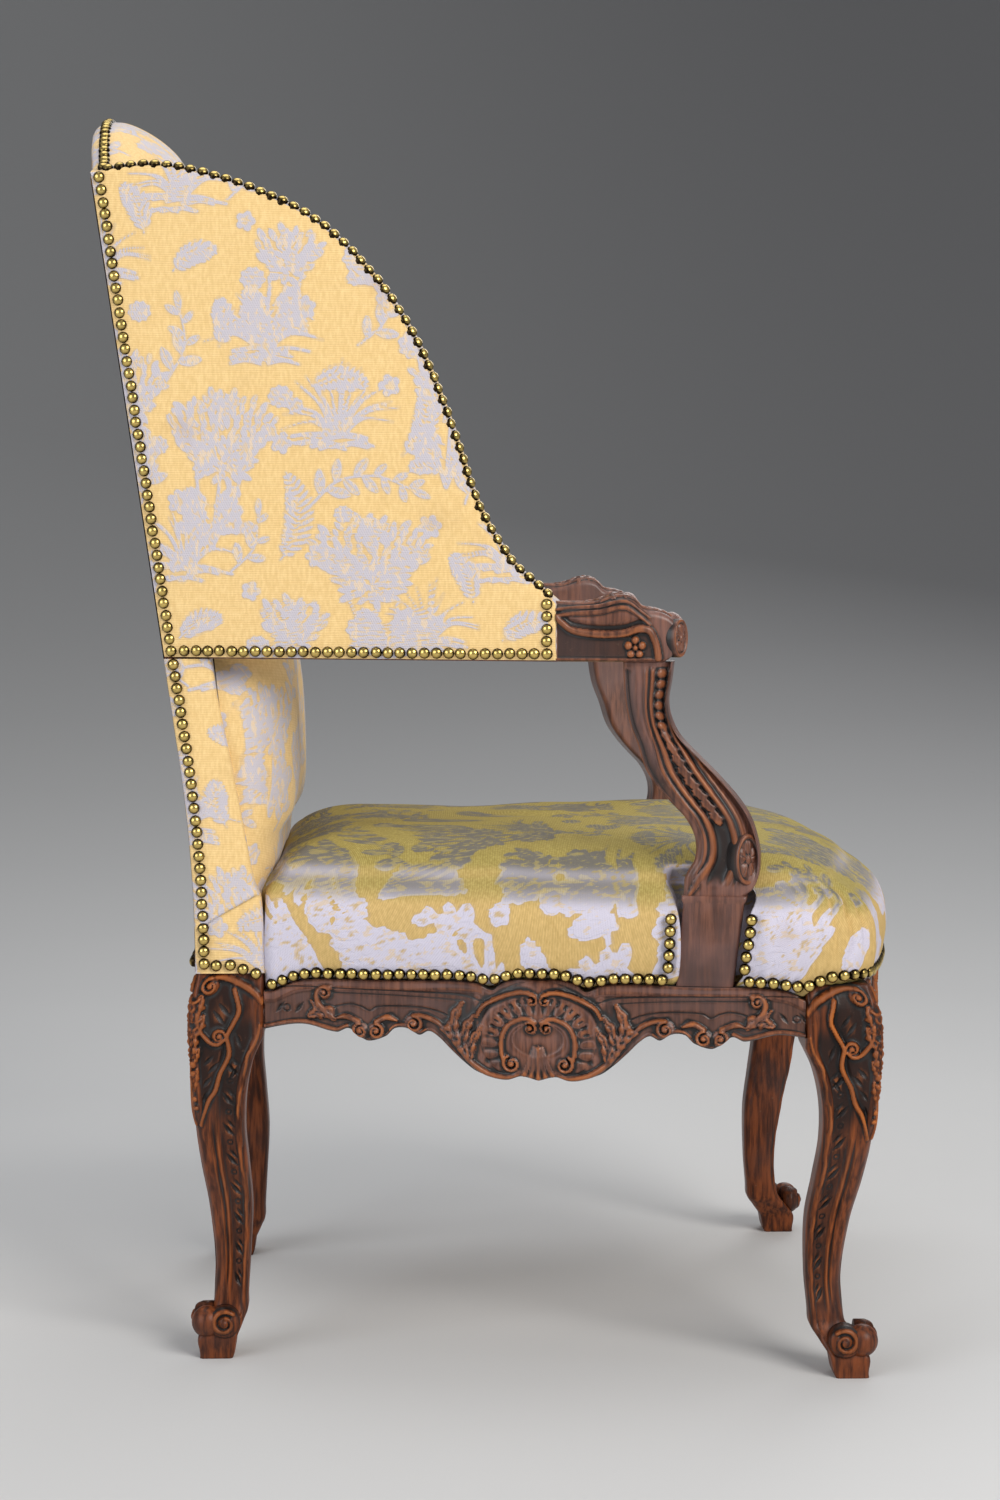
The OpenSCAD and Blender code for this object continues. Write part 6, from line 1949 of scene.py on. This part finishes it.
class Finish:
    """A material with the helpers that the recipes below are written in."""

    def __init__(self, name):
        self.material = bpy.data.materials.new(name)
        self.material.use_nodes = True
        self.tree = self.material.node_tree
        self.shader = self.tree.nodes["Principled BSDF"]
        self.object_space = self.node("ShaderNodeTexCoord").outputs["Object"]

    def node(self, kind, inputs=None, **settings):
        """One node of a type: its settings are set first, then its inputs by name or number."""
        made = self.tree.nodes.new(kind)
        for key, value in settings.items():
            setattr(made, key, value)
        for key, value in (inputs or {}).items():
            self.put(made.inputs[key], value)
        return made

    def put(self, place, value):
        """Links a signal or socket to an input, or sets a plain number on it."""
        if isinstance(value, Signal):
            self.tree.links.new(value.socket, place)
        elif isinstance(value, bpy.types.NodeSocket):
            self.tree.links.new(value, place)
        else:
            place.default_value = value

    def noise_at(self, place, scale, detail, rough):
        """Fractal noise at a place."""
        about = {"Vector": place, "Scale": scale, "Detail": detail, "Roughness": rough}
        return Signal(self, self.node("ShaderNodeTexNoise", about).outputs["Fac"])

    def noise(self, scale, detail=4.0, stretch=(1, 1, 1)):
        """Fractal noise of the object's space in metres; stretch squeezes an axis."""
        place = self.node("ShaderNodeMapping", {"Vector": self.object_space, "Scale": stretch})
        return self.noise_at(place.outputs[0], scale, detail, 0.55)

    def thread_noise(self, scale, along=0.4):
        """Fractal noise of the cloth's own flat millimetres, drawn out along the warp."""
        flat = {"X": self.field("flat_u"), "Y": self.field("flat_v") * along}
        place = self.node("ShaderNodeCombineXYZ", flat)
        return self.noise_at(place.outputs[0], scale, 3.0, 0.6)

    def field(self, name):
        """A point attribute of the mesh."""
        return Signal(self, self.node("ShaderNodeAttribute", attribute_name=name).outputs["Fac"])

    def blend(self, share, low, high):
        """Colour low + (high - low) share; 0, 6 and 7 are the Mix node's inputs for colours."""
        return self.node("ShaderNodeMix", {0: share, 6: low, 7: high}, data_type="RGBA").outputs[2]

    def bump(self, height, distance, strength=1.0):
        """Sets the normal from a height signal whose unit is distance metres."""
        made = self.node("ShaderNodeBump", {"Height": height, "Distance": distance, "Strength": strength})
        self.put(self.shader.inputs["Normal"], made.outputs[0])

    def set(self, **values):
        """Principled inputs by name, with spaces written as underscores."""
        for key, value in values.items():
            self.put(self.shader.inputs[key.replace("_", " ")], value)
        return self.material


# %% [markdown]
# ## Old walnut
#
# The frame is walnut under an old polish: a straight grain, a grey painted sheen on the flats, painted shade
# in the hollows and sunk grounds, and ridges worn to orange brown. Painting the layers by hand would do, but
# `relief` and `edge` already say how high and how sharp each place is, so they make the masks.


# %% Walnut and beech
def walnut(name, deep, light, painted_sheen, wear, shine):
    """Polished walnut: worn(edge) over painted hollow shade(-edge) over painted sheen(flat) over grain."""
    f = Finish(name)
    relief, edge = f.field("relief"), f.field("edge")
    grain = f.noise(42, 5, (5, 5, 0.45))
    cloud = f.noise(13, 3)
    wood = f.blend(grain.smooth(0.34, 0.68), deep, light)
    # The flats take a grey painted sheen: the polish's reflection, painted into the colour.
    flat = abs(edge).smooth(0.3, 0.02) * cloud.smooth(0.3, 0.66)
    wood = f.blend(flat * painted_sheen, wood, rgb(140, 106, 100))
    wood = f.blend(cloud.smooth(0.48, 0.72) * 0.6, wood, rgb(48, 34, 32))
    # Sunk places and hollows are painted dark, with a grey tint here and there: painted shade.
    wood = f.blend((relief * 0.12 + 0.4).smooth(-0.05, 0.42), rgb(36, 21, 16), wood)
    hollow = f.blend(cloud.smooth(0.42, 0.66), rgb(18, 11, 9), rgb(52, 50, 50))
    wood = f.blend((-edge).smooth(0.1, 0.8), wood, hollow)
    worn = (edge + (cloud - 0.5) * 1.9 + (grain - 0.5) * 0.9).smooth(0.25, 1.25) * wear
    wood = f.blend(worn, wood, f.blend(cloud.smooth(0.3, 0.6), rgb(190, 108, 46), rgb(146, 84, 46)))
    dust = f.noise(240, 2).smooth(0.64, 0.82) * 0.2
    wood = f.blend(dust, wood, rgb(128, 104, 84))
    f.bump(grain * 0.4 + f.noise(950, 2) * 0.2, 0.0009, 0.6)
    return f.set(Base_Color=wood, Roughness=cloud * 0.24 + 0.3, Coat_Weight=shine * 0.5,
                 Coat_Roughness=0.24, Specular_IOR_Level=shine)


def beech():
    """Pale frame wood of the hidden rails: two browns mixed by the grain."""
    f = Finish("beech")
    grain = f.noise(60, 4, (6, 6, 0.6))
    colour = f.blend(grain.smooth(0.3, 0.7), rgb(150, 104, 66), rgb(186, 142, 98))
    f.bump(grain, 0.0005, 0.5)
    return f.set(Base_Color=colour, Roughness=grain * 0.2 + 0.55)


# %% [markdown]
# ## Figured satin
#
# The ground is a ribbed satin and the figure a twill on top of it. A woven edge is never sharp, so the
# motif's distance passes through a soft step. Ribs and twill are sines of the cloth's flat millimetres.
# The seat's top is painted darker and greyer as painted shade and sheen, and fades to the back's colours
# where it isn't level.

# %% A woven cloth
RIB_PITCH = 1.7
TWILL_PITCH = 2.3


def woven(f, ground, ground_shade, figure, figure_shade, stain, grown=0.0):
    """Colour, height and roughness of a satin ground with a figure from the motif field, in millimetres.

    grown widens the figure: the step from ground to figure is that of motif + grown.
    """
    motif, vein = f.field("motif") + grown, f.field("vein")
    shape = motif.smooth(-0.35, 0.3)
    u, v = f.field("flat_u"), f.field("flat_v")
    rib = (v * (2 * math.pi / RIB_PITCH)).sine()
    twill = ((u + v * 0.5) * (2 * math.pi / TWILL_PITCH)).sine()
    slub = f.noise(380, 3, (1, 1, 0.35))
    plain = f.blend((slub * 0.8 + rib * 0.12).smooth(0.2, 0.7), ground_shade, ground)
    fleck = f.thread_noise(0.16).smooth(0.54, 0.62) * 0.75
    inked = (vein * 0.95 + twill * 0.1 + (slub - 0.5) * 0.5).smooth(0.1, 0.8)
    drawn = f.blend(inked, figure, f.blend(0.6, figure_shade, ground))
    drawn = f.blend(fleck, drawn, f.blend(0.35, ground, figure))
    colour = f.blend(shape, plain, drawn)
    halo = motif.smooth(-2.4, -0.4) * (1 - motif.smooth(-0.4, 0.3))
    colour = f.blend(halo * 0.22, colour, figure_shade)
    soil = f.noise(8, 4).smooth(0.6, 0.78) * 0.28
    colour = f.blend(soil, colour, stain)
    height = shape * 0.4 + rib * 0.1 + twill * shape * 0.08 + slub * 0.3 - vein * shape * 0.3
    return colour, height, 0.72 - shape * 0.16 + slub * 0.08


# %% Cloths of the back and the seat
def back_brocade():
    """The cloth of the back, the wings and the posts."""
    f = Finish("brocade")
    ground, ground_shade = rgb(250, 216, 152), rgb(232, 194, 128)
    figure, figure_shade = rgb(202, 195, 202), rgb(170, 160, 164)
    colour, height, rough = woven(f, ground, ground_shade, figure, figure_shade, rgb(150, 104, 60))
    f.bump(height, 0.0010, 0.8)
    return f.set(Base_Color=colour, Roughness=rough, Sheen_Weight=0.25, Sheen_Roughness=0.4)


def seat_satin():
    """The seat's cloth: painted dark and grey on the top as painted shade and sheen, and like the back's
    cloth on its sides.
    """
    f = Finish("brocade_seat")
    # Colours of the top are painted shade and sheen: a darker ground and a figure turned dark grey.
    ground, ground_shade = rgb(182, 166, 98), rgb(148, 132, 70)
    figure, figure_shade = rgb(112, 108, 100), rgb(92, 88, 84)
    top, height, rough = woven(f, ground, ground_shade, figure, figure_shade, rgb(110, 92, 56))
    ground, ground_shade = rgb(222, 190, 128), rgb(196, 164, 104)
    figure, figure_shade = rgb(208, 203, 218), rgb(156, 146, 150)
    side, _, _ = woven(f, ground, ground_shade, figure, figure_shade, rgb(140, 104, 60), grown=2.6)
    # The more level the cloth lies, the more of the top's painted shade and sheen it takes.
    share = (f.field("level") + (f.noise(6, 2) - 0.5) * 0.3).smooth(0.35, 0.92)
    f.bump(height, 0.0010, 0.8)
    return f.set(Base_Color=f.blend(share, side, top), Roughness=rough, Specular_IOR_Level=0.12)


# %% [markdown]
# ## Metal and coarse cloth
#
# The nails are painted dark at the edge and bright on the crown along the height of the dome, a painted
# reflection and highlight mixed with noise for real tarnish and rubbing. The webbing, the hessian and the
# springs are seen only from below, and plain noise is enough.


# %% Brass, jute and steel
def brass():
    """Old brass of the nail heads: painted highlight and reflection from the height, with tarnish noise,
    between dark and bright metal.
    """
    f = Finish("old_brass")
    worn = f.noise(700, 3)
    tarnish = f.noise(60, 2)
    # Height up the dome paints the crown bright and the rim dark: painted highlight and reflection, with
    # tarnish noise.
    highlight_and_tarnish = (f.field("relief") * 0.3 + (worn - 0.5) * 0.5 + (tarnish - 0.5) * 0.6).smooth(0.5, 1.42)
    colour = f.blend(highlight_and_tarnish, rgb(40, 30, 16), rgb(222, 192, 112))
    f.bump(worn, 0.0001, 0.3)
    return f.set(Base_Color=colour, Roughness=worn * 0.2 + 0.14, Metallic=tarnish * 0.1 + 0.9)


def plain_cloth(name, low, high, pitch):
    """Coarse jute webbing or hessian under the seat."""
    f = Finish(name)
    weave = f.noise(pitch, 2)
    colour = f.blend(weave.smooth(0.35, 0.65), low, high)
    f.bump(weave, 0.0012, 0.7)
    return f.set(Base_Color=colour, Roughness=weave * 0.1 + 0.82)


def steel():
    """Dull steel wire of the springs, with rust where the noise is high."""
    f = Finish("steel_wire")
    rust = f.noise(160, 3)
    colour = f.blend(rust.smooth(0.45, 0.7), rgb(128, 126, 124), rgb(96, 66, 48))
    f.bump(rust, 0.0002, 0.4)
    return f.set(Base_Color=colour, Roughness=rust * 0.4 + 0.3, Metallic=rust.smooth(0.7, 0.4) * 0.3 + 0.6)


def dress(things, material):
    """Gives each piece the one material."""
    for thing in things:
        thing.data.materials.clear()
        thing.data.materials.append(material)


# %% [markdown]
# ## Finishes on the pieces
#
# Each piece gets one finish. The legs are rubbed redder than the rails, arms and supports, where a grey
# painted sheen lies on the flats. The parts that stay in view only from below or from behind keep their
# exact
# solids: the rear rail in walnut, and the hidden frame in beech, jute and steel.

# %% Wood, brass and cloth
leg_wood = walnut("walnut_red", rgb(56, 24, 8), rgb(126, 64, 28), painted_sheen=0.06, wear=0.84, shine=0.2)
wood = walnut("walnut", rgb(72, 40, 28), rgb(126, 78, 56), painted_sheen=0.55, wear=0.6, shine=0.42)
legs = [piece for piece in carved if "leg" in piece.name]
dress(legs, leg_wood)
dress([piece for piece in carved if piece not in legs], wood)
dress(nails, brass())
dress([piece for piece in cloths if piece is not seat_cover], back_brocade())
dress([seat_cover], seat_satin())

# %% Exact parts that stay
frame_wood = beech()
jute = rgb(150, 118, 76), rgb(196, 166, 118)
hidden = {
    "rear_rail": wood,
    "seat_webbing": plain_cloth("webbing", *jute, 900),
    "seat_hessian": plain_cloth("hessian", rgb(142, 112, 74), rgb(186, 158, 116), 1300),
    "back_webbing": plain_cloth("back_webbing", *jute, 900),
    "seat_springs": steel(),
}
for node in ("corner_blocks", "lower_back_rail", "crest_rail", "wing_rail_right", "wing_rail_left"):
    hidden[node] = frame_wood
for node, finish in hidden.items():
    dress([frame["nodes"][node]], finish)
print("exact parts that stay in view:", sorted(hidden))

# %% Bodies
for piece in carved + cloths + nails:
    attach(piece, "root")

# %% [markdown]
# ## Stage, light and camera
#
# As in a studio, one pale sheet runs under the chair and turns up behind it, without a line between floor
# and wall; its colour is painted darker up the wall and towards one side, as painted shade. One large soft
# light stands on the camera's side, and weaker ones open the shadows.


# %% Floor and backdrop
def backdrop():
    """Floor that rises behind the chair on a quarter circle: (x0 + R sin t, R - R cos t), painted darker
    away from the chair.
    """
    radius, start = 6200, 1400
    bend = np.linspace(0, np.pi / 2, 24)
    x = np.concatenate([[-9000.0], start + radius * np.sin(bend), [start + radius]])
    z = np.concatenate([[0.0], radius - radius * np.cos(bend), [12000.0]])
    y = np.array([-14000.0, 14000.0])
    grid = np.stack([x[:, None] + 0 * y, y + 0 * x[:, None], z[:, None] + 0 * y], -1)
    floor = skin("floor", grid, closed=False)
    f = Finish("floor")
    place = f.node("ShaderNodeSeparateXYZ", {"Vector": f.object_space})
    away, aside = (Signal(f, place.outputs[axis]) for axis in ("X", "Y"))
    # The wall is painted darker than the floor and darker towards one side: painted shade.
    wall = f.blend(aside.smooth(-1.6, 2.2), rgb(116, 116, 117), rgb(148, 148, 148))
    colour = f.blend(f.noise(2.5, 3) * 0.4, rgb(208, 208, 208), rgb(215, 215, 214))
    colour = f.blend(away.smooth(0.3, 4.3), colour, wall)
    dress([floor], f.set(Base_Color=colour, Roughness=0.85))
    return floor


# %% Lamps and world
def area_light(name, place, target, size, power, tint=(1, 1, 1)):
    """Square light aimed at a point."""
    data = bpy.data.lights.new(name, "AREA")
    data.shape, data.size, data.energy, data.color = "SQUARE", size, power, tint
    lamp = bpy.data.objects.new(name, data)
    bpy.context.scene.collection.objects.link(lamp)
    place, target = np.array(place), np.array(target)
    lamp.location = place
    lamp.rotation_euler = Vector(target - place).to_track_quat("-Z", "Y").to_euler()
    return lamp


floor = backdrop()
lamps = [
    area_light("key", (-3.6, -2.6, 3.2), (0, 0, 0.6), 2.6, 190, (1.0, 0.97, 0.93)),
    area_light("fill", (-3.0, 3.6, 2.0), (0, 0, 0.6), 3.0, 85, (0.93, 0.96, 1.0)),
    area_light("top", (0.6, 0.2, 4.2), (0, 0, 0.6), 3.0, 48),
    area_light("rim", (3.2, -1.2, 2.4), (0, 0, 0.7), 2.0, 30),
]
world = bpy.data.worlds.new("studio")
world.use_nodes = True
sky = world.node_tree.nodes["Background"]
sky.inputs["Color"].default_value = rgb(214, 217, 222)
sky.inputs["Strength"].default_value = 0.42
bpy.context.scene.world = world
print("lamps:", [lamp.name for lamp in lamps])

# %% Camera at the photograph's angle
CAMERA_PLACE = (-3.09, 0.096, 0.86)
CAMERA_AIM = (0.9956, -0.0329, -0.0878)
camera = bpy.data.objects.new("camera", bpy.data.cameras.new("camera"))
camera.data.lens = 70.8
camera.data.sensor_width = 36
camera.data.sensor_fit = "AUTO"
bpy.context.scene.collection.objects.link(camera)
camera.location = CAMERA_PLACE
camera.rotation_euler = Vector(CAMERA_AIM).to_track_quat("-Z", "Y").to_euler()
bpy.context.scene.camera = camera
bpy.context.scene.view_settings.view_transform = "Standard"
